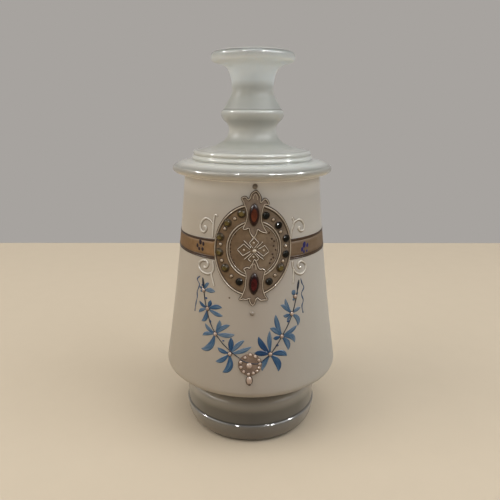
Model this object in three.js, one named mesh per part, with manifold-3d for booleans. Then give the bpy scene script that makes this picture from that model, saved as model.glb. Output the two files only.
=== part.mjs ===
// Opaline glass vase with an enamelled and jewelled medallion, in millimetres.
// +Z is up, the origin is the centre of the ring that the foot stands on,
// and the medallion faces -Y.
import * as THREE from 'three';
import { mergeVertices } from 'three/addons/utils/BufferGeometryUtils.js';
import { ConvexGeometry } from 'three/addons/geometries/ConvexGeometry.js';
import Module from 'manifold-3d';

const wasm = await Module();
wasm.setup();

// Foot of the vessel. A rise is measured from the end of the part below it.
const FOOT_BASE_RADIUS = 33.7;
const FOOT_RING_WIDTH = 3.5;
const FOOT_RECESS = 2;
const FOOT_RIDGE_RADIUS = 38;
const FOOT_RIDGE_RISE = 11.4;
const FOOT_WALL_RISE = 9;
const FOOT_SHOULDER_RISE = 5.2;
const WAIST_RADIUS = 29.5;
const WAIST_RISE = 4.2;

// Body: a cone whose wall is drawn in a little between its ends.
const BODY_LOW_RADIUS = 48.5;
const BODY_TOP_RADIUS = 36;
const UNDERSIDE_RISE = 8.7;
const BODY_RISE = 103.5;
const BODY_WALL_SAG = 1;
const GLASS_WALL = 2.8;

// Stepped shoulder: a flange with a rounded lip, and a disc with two beads on it.
const FLANGE_RADIUS = 42.2;
const FLANGE_RISE = 6.4;
const FLANGE_LIP_HEIGHT = 4.6;
const FLANGE_SLOPE = 1.9;
const DISC_RADIUS = 31.2;
const DISC_RISE = 7;
const DISC_BEAD = 0.9;

// Neck: throat, knop, straight neck and flared mouth.
const THROAT_RADIUS = 12.3;
const THROAT_RISE = 10.3;
const KNOP_RADIUS = 16.5;
const KNOP_RISE = 9.4;
const NECK_RADIUS = 10.5;
const NECK_RISE = 8.9;
const NECK_LENGTH = 1.8;
const FLARE_RISE = 12.8;
const LIP_RADIUS = 21.5;
const LIP_THICKNESS = 5.6;
const NECK_WALL = 2.7;

// Enamel: each layer is laid on the glass or on the layer under it.
const SEAT_GAP = 0.15;
const ENAMEL = 0.35;
const PAINT = 0.25;
const LINE_WIDTH = 0.8;
const LINE_HEIGHT = 0.5;
const SIDE_GAP = 0.25;

// Band round the body, measured from the body's lowest full width.
const BAND_HEIGHT_ON_BODY = 71.1;
const BAND_WIDTH = 9.6;
const BAND_BORDER = 1;
const BORDER_GAP = 0.1;

// Medallion: an oval about the band, with a ring of jewels and two cartouches.
const MEDALLION_ABOVE_BAND = 0.7;
const ORNAMENT_LEAN = 0.025;
const OVAL_HALF_WIDTH = 19;
const OVAL_HALF_HEIGHT = 21.9;
const INNER_HALF_WIDTH = 13.2;
const INNER_HALF_HEIGHT = 13.8;
const RIM_RADIUS = 0.55;
const CARTOUCHE_HALF_WIDTH = 6.3;
const CARTOUCHE_HALF_HEIGHT = 11;
const UPPER_RISE = 17.4;
const LOWER_RISE = 16.4;
const NAVETTE_HALF_WIDTH = 2.3;
const NAVETTE_HALF_HEIGHT = 5.1;
const JEWEL_RADIUS = 2;
const JEWEL_HEIGHT = 1.5;
const JEWEL_ANGLES = [69, 42, 16, -8, -33, -64];
const PEARL_RADIUS = 0.85;
const END_PEARL_RADIUS = 1.35;
const END_PEARL_REACH = 30.7;
const TOP_CLEARANCE = 1;
const LOW_CLEARANCE = 2.5;

// Cross in the middle of the medallion.
const LOZENGE_HALF = 2.7;
const LOZENGE_REACH = 4.9;
const LOZENGE_RISE = 3.7;
const CHEVRON_TIP = 1.6;
const RAY_REACH = 6.3;
const CROSS_BEAD_RADIUS = 1.05;

// Scrolls at the band's four broken corners.
const SCROLL_WIDTH = 0.84;
const SCROLL_CENTRE_X = 26.4;
const SCROLL_CENTRE_Y = 9.6;
const SCROLL_START_RADIUS = 5.6;
const SCROLL_END_RADIUS = 0.7;
const STEM_LENGTH = 11;
const STEM_CLEARANCE = 1.25;
const STEM_LEAN = 0.7;

// Garland, rosette and pendant under the medallion.
const GARLAND_STEM_WIDTH = 0.6;
const STEM_START = 6;
const PETAL_WIDTH = 2.2;
const FLOWER_CENTRE_RADIUS = 1.2;
const ROSETTE_RADIUS = 5.8;
const ROSETTE_DROP = 57;
const ROSETTE_PEARLS = 12;
const ROSETTE_CENTRE_RADIUS = 1.6;
const PENDANT_HALF_WIDTH = 1.7;
const PENDANT_HALF_HEIGHT = 2.3;
const RIBBON_REACH = 29.5;
const RIBBON_WIDTH = 0.6;
const RIBBON_LENGTH = 17;
const RIBBON_WAVE = 0.6;
const RIBBON_SPREAD = 1.6;

// Each flower: shares of the garland's half width and of the rosette's drop,
// then petals as angle and share of the petal length.
const GARLAND_HALF_WIDTH = 26.5;
const PETAL_LENGTH = 10;
const FLOWERS_LEFT = [
  { out: -1, down: 0.386, petals: [[92, 0.54], [46, 0.49], [-2, 0.71], [192, 0.26]] },
  { out: -0.864, down: 0.553,
    petals: [[152, 0.66], [73, 0.5], [10, 0.75], [-16, 0.85], [212, 0.68], [240, 0.76]] },
  { out: -0.691, down: 0.749,
    petals: [[77, 0.7], [34, 0.93], [8, 0.98], [149, 0.69], [197, 0.73], [233, 1.1]] },
  { out: -0.4, down: 0.905,
    petals: [[91, 0.7], [45, 0.99], [21, 1], [165, 0.66], [216, 0.84], [252, 1]] },
];
const FLOWERS_RIGHT = [
  { out: 0.883, down: 0.425, petals: [[126, 0.4], [60, 0.34], [200, 0.34]] },
  { out: 0.785, down: 0.579,
    petals: [[113, 0.8], [140, 0.77], [15, 0.53], [-56, 0.73], [189, 0.44]] },
  { out: 0.6, down: 0.758,
    petals: [[109, 1], [144, 0.72], [22, 0.87], [-28, 0.83], [-64, 0.8], [182, 0.48]] },
  { out: 0.362, down: 0.909,
    petals: [[123, 1], [93, 1.06], [172, 0.56], [-12, 0.9], [-60, 0.95], [249, 0.88]] },
];

const TURN_STEPS = 40;
const DEGREE = Math.PI / 180;

// Heights up the vessel.
const zRidge = FOOT_RIDGE_RISE;
const zFootWall = zRidge + FOOT_WALL_RISE;
const zFootTop = zFootWall + FOOT_SHOULDER_RISE;
const zUnder = zFootTop + WAIST_RISE;
const zBodyLow = zUnder + UNDERSIDE_RISE;
const zBodyTop = zBodyLow + BODY_RISE;
const zFlange = zBodyTop + FLANGE_RISE;
const zDisc = zFlange + DISC_RISE;
const zThroat = zDisc + THROAT_RISE;
const zKnop = zThroat + KNOP_RISE;
const zNeck = zKnop + NECK_RISE;
const zFlare = zNeck + NECK_LENGTH;
const zLipEdge = zFlare + FLARE_RISE;
const zTop = zLipEdge + LIP_THICKNESS;

// Heights of the enamel layers above the glass, and the places of the ornament.
const groundTop = SEAT_GAP + ENAMEL;
const onGround = groundTop + SEAT_GAP;
const plateTop = onGround + ENAMEL;
const onPlate = plateTop + SEAT_GAP;
const bandTop = SEAT_GAP + PAINT;
const zBand = zBodyLow + BAND_HEIGHT_ON_BODY;

// The ornament is drawn to fit the body: it is 1 when its top and its pendant are just clear.
const pendantReach = ROSETTE_DROP + ROSETTE_RADIUS + SIDE_GAP + 2 * PENDANT_HALF_HEIGHT;
const fitAbove = (zBodyTop - TOP_CLEARANCE - zBand) / (MEDALLION_ABOVE_BAND + END_PEARL_REACH);
const fitBelow = (BAND_HEIGHT_ON_BODY - LOW_CLEARANCE) / (pendantReach - MEDALLION_ABOVE_BAND);
const fit = Math.min(fitAbove, fitBelow);
const zMedallion = zBand + fit * MEDALLION_ABOVE_BAND;
const ringHalfWidth = (OVAL_HALF_WIDTH + INNER_HALF_WIDTH) / 2;
const ringHalfHeight = (OVAL_HALF_HEIGHT + INNER_HALF_HEIGHT) / 2;

const opaline = { color: 0xd9d6cf, roughness: 0.35, metalness: 0 };
const taupe = { color: 0x9a8a78, roughness: 0.7, metalness: 0 };
const tan = { color: 0xb3906c, roughness: 0.6, metalness: 0 };
const border = { color: 0x3a2618, roughness: 0.5, metalness: 0.2 };
const cream = { color: 0xd3c8b4, roughness: 0.4, metalness: 0 };
const pearl = { color: 0xe0d6cb, roughness: 0.25, metalness: 0 };
const ruby = { color: 0x5a1410, roughness: 0.08, metalness: 0 };
const green = { color: 0x1d2216, roughness: 0.08, metalness: 0 };
const blue = { color: 0x4a7fb5, roughness: 0.45, metalness: 0 };

const vase = new THREE.Group();

function add(name, geometry, look) {
  const mesh = new THREE.Mesh(geometry, new THREE.MeshStandardMaterial(look));
  mesh.name = name;
  vase.add(mesh);
}

// Radius of the body's outer wall at height z. The wall is a parabola between its ends.
function bodyRadius(z) {
  const t = (z - zBodyLow) / BODY_RISE;
  const chord = BODY_LOW_RADIUS + (BODY_TOP_RADIUS - BODY_LOW_RADIUS) * t;
  return chord - 4 * BODY_WALL_SAG * t * (1 - t);
}

// Point on the body: x is the arc length from the ornament's own axis, which leans a little,
// y the height from the medallion's centre, and lift the distance out from the glass.
function onBody(x, y, lift) {
  const z = zMedallion + fit * y;
  const radius = bodyRadius(z);
  const angle = fit * (x + ORNAMENT_LEAN * y) / radius;
  return new THREE.Vector3(
    (radius + lift) * Math.sin(angle), -(radius + lift) * Math.cos(angle), z);
}

// A pen that draws a turned profile, radius against height.
function pen(radius, z) {
  const points = [new THREE.Vector2(radius, z)];
  const end = () => points[points.length - 1];
  const draw = (curve, steps) => points.push(...curve.getPoints(steps).slice(1));
  const nib = {
    points,
    line(r, h) {
      points.push(new THREE.Vector2(r, h));
      return nib;
    },
    bend(cr, ch, r, h, steps) {
      const middle = new THREE.Vector2(cr, ch);
      draw(new THREE.QuadraticBezierCurve(end(), middle, new THREE.Vector2(r, h)), steps);
      return nib;
    },
    sweep(ar, ah, br, bh, r, h, steps) {
      const first = new THREE.Vector2(ar, ah);
      const second = new THREE.Vector2(br, bh);
      draw(new THREE.CubicBezierCurve(end(), first, second, new THREE.Vector2(r, h)), steps);
      return nib;
    },
  };
  return nib;
}

function turned(points) {
  return new THREE.LatheGeometry(points, TURN_STEPS).rotateX(Math.PI / 2);
}

// The blown vessel: up the outside from the foot's recess to the lip, then down the inside.
function vesselGeometry() {
  const nib = pen(0, FOOT_RECESS);
  const ringInside = FOOT_BASE_RADIUS - FOOT_RING_WIDTH;
  nib.bend(ringInside * 0.85, FOOT_RECESS, ringInside, 0, 2);
  nib.line(FOOT_BASE_RADIUS, 0);
  nib.bend(FOOT_RIDGE_RADIUS - 0.8, zRidge * 0.3, FOOT_RIDGE_RADIUS - 0.4, zRidge - 1, 3);
  nib.bend(FOOT_RIDGE_RADIUS + 0.3, zRidge + 0.4, FOOT_RIDGE_RADIUS - 0.2, zRidge + 2.2, 2);
  nib.line(FOOT_RIDGE_RADIUS - 0.6, zFootWall);
  nib.bend(FOOT_RIDGE_RADIUS - 1.2, zFootTop, FOOT_RIDGE_RADIUS - 5, zFootTop, 2);
  nib.bend(WAIST_RADIUS, zFootTop + 0.1, WAIST_RADIUS, zFootTop + WAIST_RISE / 2, 2);
  nib.bend(WAIST_RADIUS, zUnder, WAIST_RADIUS + 3, zUnder + 0.5, 2);
  nib.line(BODY_LOW_RADIUS - 4, zUnder + UNDERSIDE_RISE * 0.47);
  nib.sweep(BODY_LOW_RADIUS - 1.2, zUnder + UNDERSIDE_RISE * 0.58,
    BODY_LOW_RADIUS, zBodyLow - 2, BODY_LOW_RADIUS, zBodyLow, 3);
  const wallSteps = 5;
  for (let i = 1; i <= wallSteps; i++) {
    const z = zBodyLow + BODY_RISE * i / wallSteps;
    nib.line(bodyRadius(z), z);
  }

  const zLip = zFlange - FLANGE_LIP_HEIGHT;
  nib.bend(BODY_TOP_RADIUS - 0.1, zLip - 0.7, BODY_TOP_RADIUS + 1.8, zLip - 0.5, 2);
  nib.line(FLANGE_RADIUS - 2.4, zLip);
  nib.bend(FLANGE_RADIUS + 0.3, zLip + 0.7, FLANGE_RADIUS, zLip + 2.6, 3);
  nib.line(FLANGE_RADIUS - 0.8, zFlange - 0.7);
  nib.line(FLANGE_RADIUS - 2, zFlange);
  nib.line(FLANGE_RADIUS - 4.8, zFlange + FLANGE_SLOPE * 0.6);
  const beadFoot = zFlange + FLANGE_SLOPE;
  const beadMiddle = (beadFoot + zDisc) / 2;
  nib.line(DISC_RADIUS + 0.6, beadFoot);
  nib.bend(DISC_RADIUS + 0.6 + DISC_BEAD, (beadFoot + beadMiddle) / 2,
    DISC_RADIUS - 0.2, beadMiddle, 2);
  nib.bend(DISC_RADIUS + DISC_BEAD * 0.8, zDisc - 0.9, DISC_RADIUS - 1.2, zDisc - 0.1, 2);
  nib.line(DISC_RADIUS - 2.4, zDisc + 0.2);
  nib.sweep(DISC_RADIUS * 0.65, zDisc + 1.1, THROAT_RADIUS + 1.2, zDisc + 2.8,
    THROAT_RADIUS, zThroat - 0.6, 4);

  nib.sweep(THROAT_RADIUS - 0.2, zThroat + KNOP_RISE * 0.45, KNOP_RADIUS, zThroat + KNOP_RISE * 0.4,
    KNOP_RADIUS, zKnop - 0.6, 4);
  nib.line(KNOP_RADIUS - 0.4, zKnop + 0.4);
  nib.line(KNOP_RADIUS - 1.5, zKnop + 1);
  nib.bend(NECK_RADIUS + 2.7, zKnop + 4.2, NECK_RADIUS, zNeck, 3);
  nib.line(NECK_RADIUS, zFlare);
  nib.bend(NECK_RADIUS + 0.4, zFlare + FLARE_RISE * 0.48,
    NECK_RADIUS + 2.2, zFlare + FLARE_RISE * 0.74, 2);
  nib.bend(NECK_RADIUS + 3.6, zLipEdge - 0.9, LIP_RADIUS - 2.2, zLipEdge, 3);
  nib.bend(LIP_RADIUS, zLipEdge + 0.3, LIP_RADIUS, zLipEdge + LIP_THICKNESS * 0.45, 2);
  nib.bend(LIP_RADIUS, zTop - 0.8, LIP_RADIUS - 2.4, zTop - 0.5, 2);
  nib.line(LIP_RADIUS - 4.2, zTop);

  const bore = NECK_RADIUS - NECK_WALL;
  nib.bend(bore + 3.6, zTop - 2.6, bore + 1.8, zLipEdge - 4, 2);
  nib.line(bore, zFlare);
  nib.line(bore, zKnop);
  nib.line(THROAT_RADIUS - NECK_WALL, zThroat);
  nib.bend(THROAT_RADIUS - NECK_WALL, zDisc + 2.2, DISC_RADIUS * 0.62, zDisc - 1.2, 2);
  const zRoof = zDisc - GLASS_WALL;
  nib.line(DISC_RADIUS - 5, zRoof);
  nib.line(BODY_TOP_RADIUS - GLASS_WALL, zRoof - 8);
  const insideSteps = 2;
  for (let i = 0; i <= insideSteps; i++) {
    const z = zBodyTop + (zBodyLow + 2 - zBodyTop) * i / insideSteps;
    nib.line(bodyRadius(z) - GLASS_WALL, z);
  }
  const zFloor = zUnder + UNDERSIDE_RISE * 0.47 + GLASS_WALL;
  nib.line(BODY_LOW_RADIUS - 6.5, zFloor - 0.5);
  const waistInside = WAIST_RADIUS - GLASS_WALL;
  nib.line(WAIST_RADIUS + 1.4, zUnder + GLASS_WALL + 0.4);
  nib.line(waistInside, zUnder - 1.2);
  const footInside = FOOT_RIDGE_RADIUS - 0.6 - GLASS_WALL;
  const zFootRoof = zFootTop - GLASS_WALL;
  nib.line(waistInside + 3, zFootRoof - 0.3);
  nib.line(footInside, zFootRoof - 4);
  nib.line(footInside, zRidge);
  const zFootFloor = FOOT_RECESS + GLASS_WALL;
  nib.line(FOOT_BASE_RADIUS - FOOT_RING_WIDTH, zFootFloor);
  nib.line(0, zFootFloor);
  return turned(nib.points);
}

// Solids for joining and cutting.
function solidOf(geometry) {
  const bare = geometry.clone();
  bare.deleteAttribute('normal');
  bare.deleteAttribute('uv');
  const merged = mergeVertices(bare, 1e-5);
  return new wasm.Manifold(new wasm.Mesh({
    numProp: 3,
    vertProperties: new Float32Array(merged.attributes.position.array),
    triVerts: new Uint32Array(merged.index.array),
  }));
}

function geometryOf(solid) {
  const mesh = solid.getMesh();
  const geometry = new THREE.BufferGeometry();
  geometry.setAttribute('position', new THREE.BufferAttribute(mesh.vertProperties, 3));
  geometry.setIndex(new THREE.BufferAttribute(mesh.triVerts, 1));
  return geometry;
}

function joined(solids) {
  return solids.reduce((whole, solid) => whole.add(solid));
}

// A turned layer over the body between two heights above the glass.
function layer(liftIn, liftOut, zLow, zHigh) {
  const steps = Math.max(1, Math.round((zHigh - zLow) / 8));
  const points = [];
  for (let i = 0; i <= steps; i++) {
    const z = zLow + (zHigh - zLow) * i / steps;
    points.push(new THREE.Vector2(bodyRadius(z) + liftOut, z));
  }
  for (let i = steps; i >= 0; i--) {
    const z = zLow + (zHigh - zLow) * i / steps;
    points.push(new THREE.Vector2(bodyRadius(z) + liftIn, z));
  }
  points.push(points[0].clone());
  return turned(points);
}

// A flat outline, given in arc length and height, pushed out through the front of the body.
function prism(outline) {
  const shadow = outline.map(([x, y]) => {
    const p = onBody(x, y, 0);
    return new THREE.Vector2(p.x, p.z);
  });
  const depth = BODY_LOW_RADIUS + 10;
  const solid = new THREE.ExtrudeGeometry(new THREE.Shape(shadow), { depth, bevelEnabled: false });
  return solidOf(solid.rotateX(Math.PI / 2));
}

function oval(halfWidth, halfHeight, steps) {
  const outline = [];
  for (let i = 0; i < steps; i++) {
    const angle = 2 * Math.PI * i / steps;
    outline.push([halfWidth * Math.cos(angle), halfHeight * Math.sin(angle)]);
  }
  return outline;
}

function moved(outline, dx, dy) {
  return outline.map(([x, y]) => [x + dx, y + dy]);
}

// Lays a small relief, modelled flat with its back at z = 0, on the body.
function laid(geometry, x, y, lift) {
  const position = geometry.attributes.position;
  for (let i = 0; i < position.count; i++) {
    const p = onBody(x + position.getX(i), y + position.getY(i), lift + position.getZ(i));
    position.setXYZ(i, p.x, p.y, p.z);
  }
  return geometry;
}

// Domed drop of enamel or glass.
function dome(halfWidth, halfHeight, height, sides = 8) {
  const profile = [[0, 0], [1, 0], [0.82, 0.66], [0, 1]];
  const points = profile.map(([r, h]) => new THREE.Vector2(r, h * height));
  const turnedDome = new THREE.LatheGeometry(points, sides).rotateX(Math.PI / 2);
  return turnedDome.scale(halfWidth, halfHeight, 1);
}

// Cut stone with a flat back, a girdle and a flat table, from its outline of half size 1.
function stone(outline, halfWidth, halfHeight, height) {
  const rings = [[0.82, 0], [1, 0.35], [0.55, 1]];
  const points = [];
  for (const [size, level] of rings) {
    for (const [x, y] of outline) {
      points.push(new THREE.Vector3(x * size * halfWidth, y * size * halfHeight, level * height));
    }
  }
  return new ConvexGeometry(points);
}

function navetteOutline(sides) {
  const outline = [];
  for (let i = 0; i < sides; i++) {
    const angle = 2 * Math.PI * i / sides;
    const width = Math.abs(Math.cos(angle));
    outline.push([Math.sign(Math.cos(angle)) * width ** 1.25, Math.sin(angle)]);
  }
  return outline;
}

// Cartouche with its crown up: half of the outline, in shares of its half width and half height.
function cartoucheOutline(halfWidth, halfHeight) {
  const half = new THREE.Path();
  half.moveTo(0, 1);
  half.quadraticCurveTo(0.32, 0.92, 0.37, 0.66);
  half.lineTo(0.5, 0.59);
  half.quadraticCurveTo(0.7, 0.84, 1, 0.62);
  half.quadraticCurveTo(0.62, 0.4, 0.53, -0.03);
  half.quadraticCurveTo(0.56, -0.42, 0.9, -0.76);
  half.quadraticCurveTo(0.6, -0.72, 0.3, -0.6);
  half.quadraticCurveTo(0.22, -0.84, 0, -1);
  const right = half.getPoints(3).map((p) => [p.x * halfWidth, p.y * halfHeight]);
  const left = right.slice(1, -1).reverse().map(([x, y]) => [-x, y]);
  return [...right, ...left].reverse();
}

function cartoucheRise(way) {
  return way > 0 ? UPPER_RISE : LOWER_RISE;
}

// Cartouche at its place: way 1 puts it over the medallion's centre, -1 under it, upside down.
function cartouchePlace(way, grow) {
  const outline = cartoucheOutline(CARTOUCHE_HALF_WIDTH + grow, CARTOUCHE_HALF_HEIGHT + grow);
  const placed = outline.map(([x, y]) => [x, way * (y + cartoucheRise(way))]);
  return way > 0 ? placed : placed.reverse();
}

const cartoucheRoom = joined([1, -1].map((way) => prism(cartouchePlace(way, SIDE_GAP))));

// Oval inside the outer rim, smaller by the given margin.
function groundOval(margin) {
  const inset = RIM_RADIUS + margin;
  return prism(oval(OVAL_HALF_WIDTH - inset, OVAL_HALF_HEIGHT - inset, 40));
}

function groundLayer(liftIn, liftOut) {
  const reach = fit * OVAL_HALF_HEIGHT + 1;
  return solidOf(layer(liftIn, liftOut, zMedallion - reach, zMedallion + reach));
}

// A cartouche rests on the ground inside the oval and on the glass beyond it.
function addCartouche(name, way) {
  const reach = fit * (cartoucheRise(way) + CARTOUCHE_HALF_HEIGHT + 1);
  const zLow = zMedallion + (way > 0 ? 0 : -reach);
  const plate = solidOf(layer(SEAT_GAP, plateTop, zLow, zLow + reach));
  const relief = solidOf(layer(SEAT_GAP, plateTop + LINE_HEIGHT, zLow, zLow + reach));
  const outer = prism(cartouchePlace(way, 0));
  const inner = prism(cartouchePlace(way, -LINE_WIDTH));
  const body = plate.intersect(outer).add(relief.intersect(outer.subtract(inner)));
  const seat = groundLayer(0, onGround).intersect(groundOval(0));
  add(name, geometryOf(body.subtract(seat)), taupe);
}

function addMedallionGround() {
  const plate = groundLayer(SEAT_GAP, groundTop).intersect(groundOval(SIDE_GAP));
  add('medallion_ground', geometryOf(plate), taupe);
}

// Raised oval line: a ring of round section, stretched to the oval and laid on the body.
// The cartouches break it into a left and a right line.
function addRim(name, halfWidth, halfHeight, lift) {
  const section = [];
  const sides = 6;
  for (let i = 0; i <= sides; i++) {
    const angle = 2 * Math.PI * i / sides;
    const across = RIM_RADIUS / halfWidth * Math.cos(angle);
    section.push(new THREE.Vector2(1 + across, RIM_RADIUS * Math.sin(angle)));
  }
  const ring = new THREE.LatheGeometry(section, 40).rotateX(Math.PI / 2);
  const rim = laid(ring.scale(halfWidth, halfHeight, 1), 0, 0, lift + RIM_RADIUS);
  const lines = solidOf(rim).subtract(cartoucheRoom).decompose();
  for (const line of lines) {
    const side = line.boundingBox().max[0] < halfWidth / 2 ? 'left' : 'right';
    add(`${name}_${side}`, geometryOf(line), cream);
  }
}

function ringPlace(angle) {
  return [ringHalfWidth * Math.cos(angle * DEGREE), ringHalfHeight * Math.sin(angle * DEGREE)];
}

function addJewels() {
  const round = oval(1, 1, 8);
  const long = navetteOutline(12);
  for (const [name, way] of [['navette_upper', 1], ['navette_lower', -1]]) {
    const cut = stone(long, NAVETTE_HALF_WIDTH, NAVETTE_HALF_HEIGHT, JEWEL_HEIGHT);
    add(name, laid(cut, 0, way * cartoucheRise(way), onPlate), ruby);
  }
  JEWEL_ANGLES.forEach((angle, i) => {
    for (const [side, way] of [['right', 1], ['left', -1]]) {
      const [x, y] = ringPlace(angle);
      const cut = stone(round, JEWEL_RADIUS, JEWEL_RADIUS, JEWEL_HEIGHT);
      add(`jewel_${side}_${i + 1}`, laid(cut, way * x, y, onGround), green);
      if (i === 0) continue;
      const [px, py] = ringPlace((angle + JEWEL_ANGLES[i - 1]) / 2);
      const bead = dome(PEARL_RADIUS, PEARL_RADIUS, PEARL_RADIUS, 6);
      add(`ring_pearl_${side}_${i}`, laid(bead, way * px, py, onGround), pearl);
    }
  });
  for (const [name, way] of [['pearl_top', 1], ['pearl_bottom', -1]]) {
    const bead = dome(END_PEARL_RADIUS, END_PEARL_RADIUS, END_PEARL_RADIUS, 10);
    add(name, laid(bead, 0, way * END_PEARL_REACH, SEAT_GAP), pearl);
  }
}

function lozenge(half) {
  return [[half, 0], [0, half], [-half, 0], [0, -half]];
}

// Bar between two points, as an outline of the line's width.
function bar(x0, y0, x1, y1) {
  const length = Math.hypot(x1 - x0, y1 - y0);
  const sx = -(y1 - y0) / length * LINE_WIDTH / 2;
  const sy = (x1 - x0) / length * LINE_WIDTH / 2;
  return [[x0 - sx, y0 - sy], [x1 - sx, y1 - sy], [x1 + sx, y1 + sy], [x0 + sx, y0 + sy]];
}

// Lozenges left, right and above, a chevron below, and a ray along each diagonal.
function addCross() {
  const reach = fit * (LOZENGE_REACH + LOZENGE_HALF + 1);
  const zLow = zMedallion - reach;
  const relief = solidOf(layer(onGround, onGround + LINE_HEIGHT, zLow, zLow + 2 * reach));
  const lines = [];
  for (const [x, y] of [[LOZENGE_REACH, 0], [0, LOZENGE_RISE], [-LOZENGE_REACH, 0]]) {
    const outer = moved(lozenge(LOZENGE_HALF), x, y);
    const inner = moved(lozenge(LOZENGE_HALF - LINE_WIDTH * Math.SQRT1_2), x, y);
    lines.push(prism(outer).subtract(prism(inner)));
    const inward = 1 - (LOZENGE_HALF - LINE_WIDTH / 2) / Math.hypot(x, y);
    lines.push(prism(bar(0, 0, x * inward, y * inward)));
  }
  const ray = RAY_REACH * Math.SQRT1_2;
  for (const side of [-1, 1]) {
    lines.push(prism(bar(0, -CHEVRON_TIP, side * LOZENGE_HALF, -CHEVRON_TIP - LOZENGE_HALF)));
    lines.push(prism(bar(-ray * side, -ray, ray * side, ray)));
  }
  lines.push(prism(bar(0, -CHEVRON_TIP - LINE_WIDTH / 2, 0, 0)));
  const cross = relief.intersect(joined(lines)).subtract(cartoucheRoom);
  const bead = dome(CROSS_BEAD_RADIUS, CROSS_BEAD_RADIUS, CROSS_BEAD_RADIUS);
  add('medallion_cross', geometryOf(cross.add(solidOf(laid(bead, 0, 0, onGround)))), cream);
}

// The band and its two border lines stop at the medallion's rim.
function addBand() {
  const room = prism(oval(OVAL_HALF_WIDTH + RIM_RADIUS + SIDE_GAP, OVAL_HALF_HEIGHT + RIM_RADIUS, 40));
  const zLow = zBand - fit * BAND_WIDTH / 2;
  const zHigh = zBand + fit * BAND_WIDTH / 2;
  const edge = fit * BAND_BORDER;
  const parts = [
    ['band', zLow + edge + BORDER_GAP, zHigh - edge - BORDER_GAP, tan],
    ['band_border_upper', zHigh - edge, zHigh, border],
    ['band_border_lower', zLow, zLow + edge, border],
  ];
  for (const [name, low, high, look] of parts) {
    const ring = solidOf(layer(SEAT_GAP, bandTop, low, high));
    add(name, geometryOf(ring.subtract(room)), look);
  }
}

// Tube of enamel along a line of [x, y] points on the body.
function tube(points, width, steps) {
  const radius = fit * width / 2;
  const path = new THREE.CatmullRomCurve3(points.map(([x, y]) => onBody(x, y, SEAT_GAP + radius)));
  const sides = 5;
  const section = new THREE.Shape();
  for (let i = 0; i < sides; i++) {
    const angle = 2 * Math.PI * (i + 0.5) / sides;
    const corner = [radius * Math.cos(angle), radius * Math.sin(angle)];
    if (i === 0) section.moveTo(...corner);
    else section.lineTo(...corner);
  }
  return new THREE.ExtrudeGeometry(section, { steps, extrudePath: path });
}

// Scroll: an upright stem beside the oval, and a spiral that springs from it.
function addScroll(name, side, way) {
  const clear = OVAL_HALF_WIDTH + RIM_RADIUS + STEM_CLEARANCE;
  const low = BAND_WIDTH / 2 - way * MEDALLION_ABOVE_BAND + SCROLL_WIDTH / 2 + SIDE_GAP;
  const stem = [
    [side * clear, way * low],
    [side * clear, way * (low + STEM_LENGTH / 2)],
    [side * (clear - STEM_LEAN), way * (low + STEM_LENGTH)],
  ];
  const spiral = [[side * clear, way * (low + STEM_LENGTH * 0.4)]];
  const turns = 12;
  for (let i = 0; i <= turns; i++) {
    const t = i / turns;
    const angle = (40 + 410 * t) * DEGREE;
    const radius = SCROLL_END_RADIUS + (SCROLL_START_RADIUS - SCROLL_END_RADIUS) * (1 - t) ** 1.5;
    const x = SCROLL_CENTRE_X - radius * Math.cos(angle);
    const y = SCROLL_CENTRE_Y + radius * Math.sin(angle);
    spiral.push([side * x, way * y]);
  }
  const parts = [tube(spiral, SCROLL_WIDTH, 24), tube(stem, SCROLL_WIDTH, 4)];
  add(name, geometryOf(joined(parts.map(solidOf))), cream);
}

// Outline of a painted stroke of even width along a curve.
function stroke(points, width, steps) {
  const curve = new THREE.SplineCurve(points.map(([x, y]) => new THREE.Vector2(x, y)));
  const left = [];
  const right = [];
  for (let i = 0; i <= steps; i++) {
    const p = curve.getPoint(i / steps);
    const d = curve.getTangent(i / steps).multiplyScalar(width / 2);
    left.push([p.x - d.y, p.y + d.x]);
    right.push([p.x + d.y, p.y - d.x]);
  }
  return [...right, ...left.reverse()];
}

function petal(flower, angle, length) {
  const half = [[0, 0.18], [0.42, 0.42], [0.74, 0.5]];
  const up = half.map(([t, w]) => [t * length, w * PETAL_WIDTH]);
  const down = half.map(([t, w]) => [t * length, -w * PETAL_WIDTH]);
  const c = Math.cos(angle * DEGREE);
  const s = Math.sin(angle * DEGREE);
  const outline = [...down, [length, 0], ...up.reverse()];
  return outline.map(([x, y]) => [flower.x + x * c - y * s, flower.y + x * s + y * c]);
}

// Flat paint: outlines joined and laid on the glass as one coat.
function painted(outlines, yLow, yHigh) {
  const zLow = zMedallion + fit * yLow;
  const coat = solidOf(layer(SEAT_GAP, SEAT_GAP + PAINT, zLow, zMedallion + fit * yHigh));
  return coat.intersect(joined(outlines.map(prism)));
}

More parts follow.
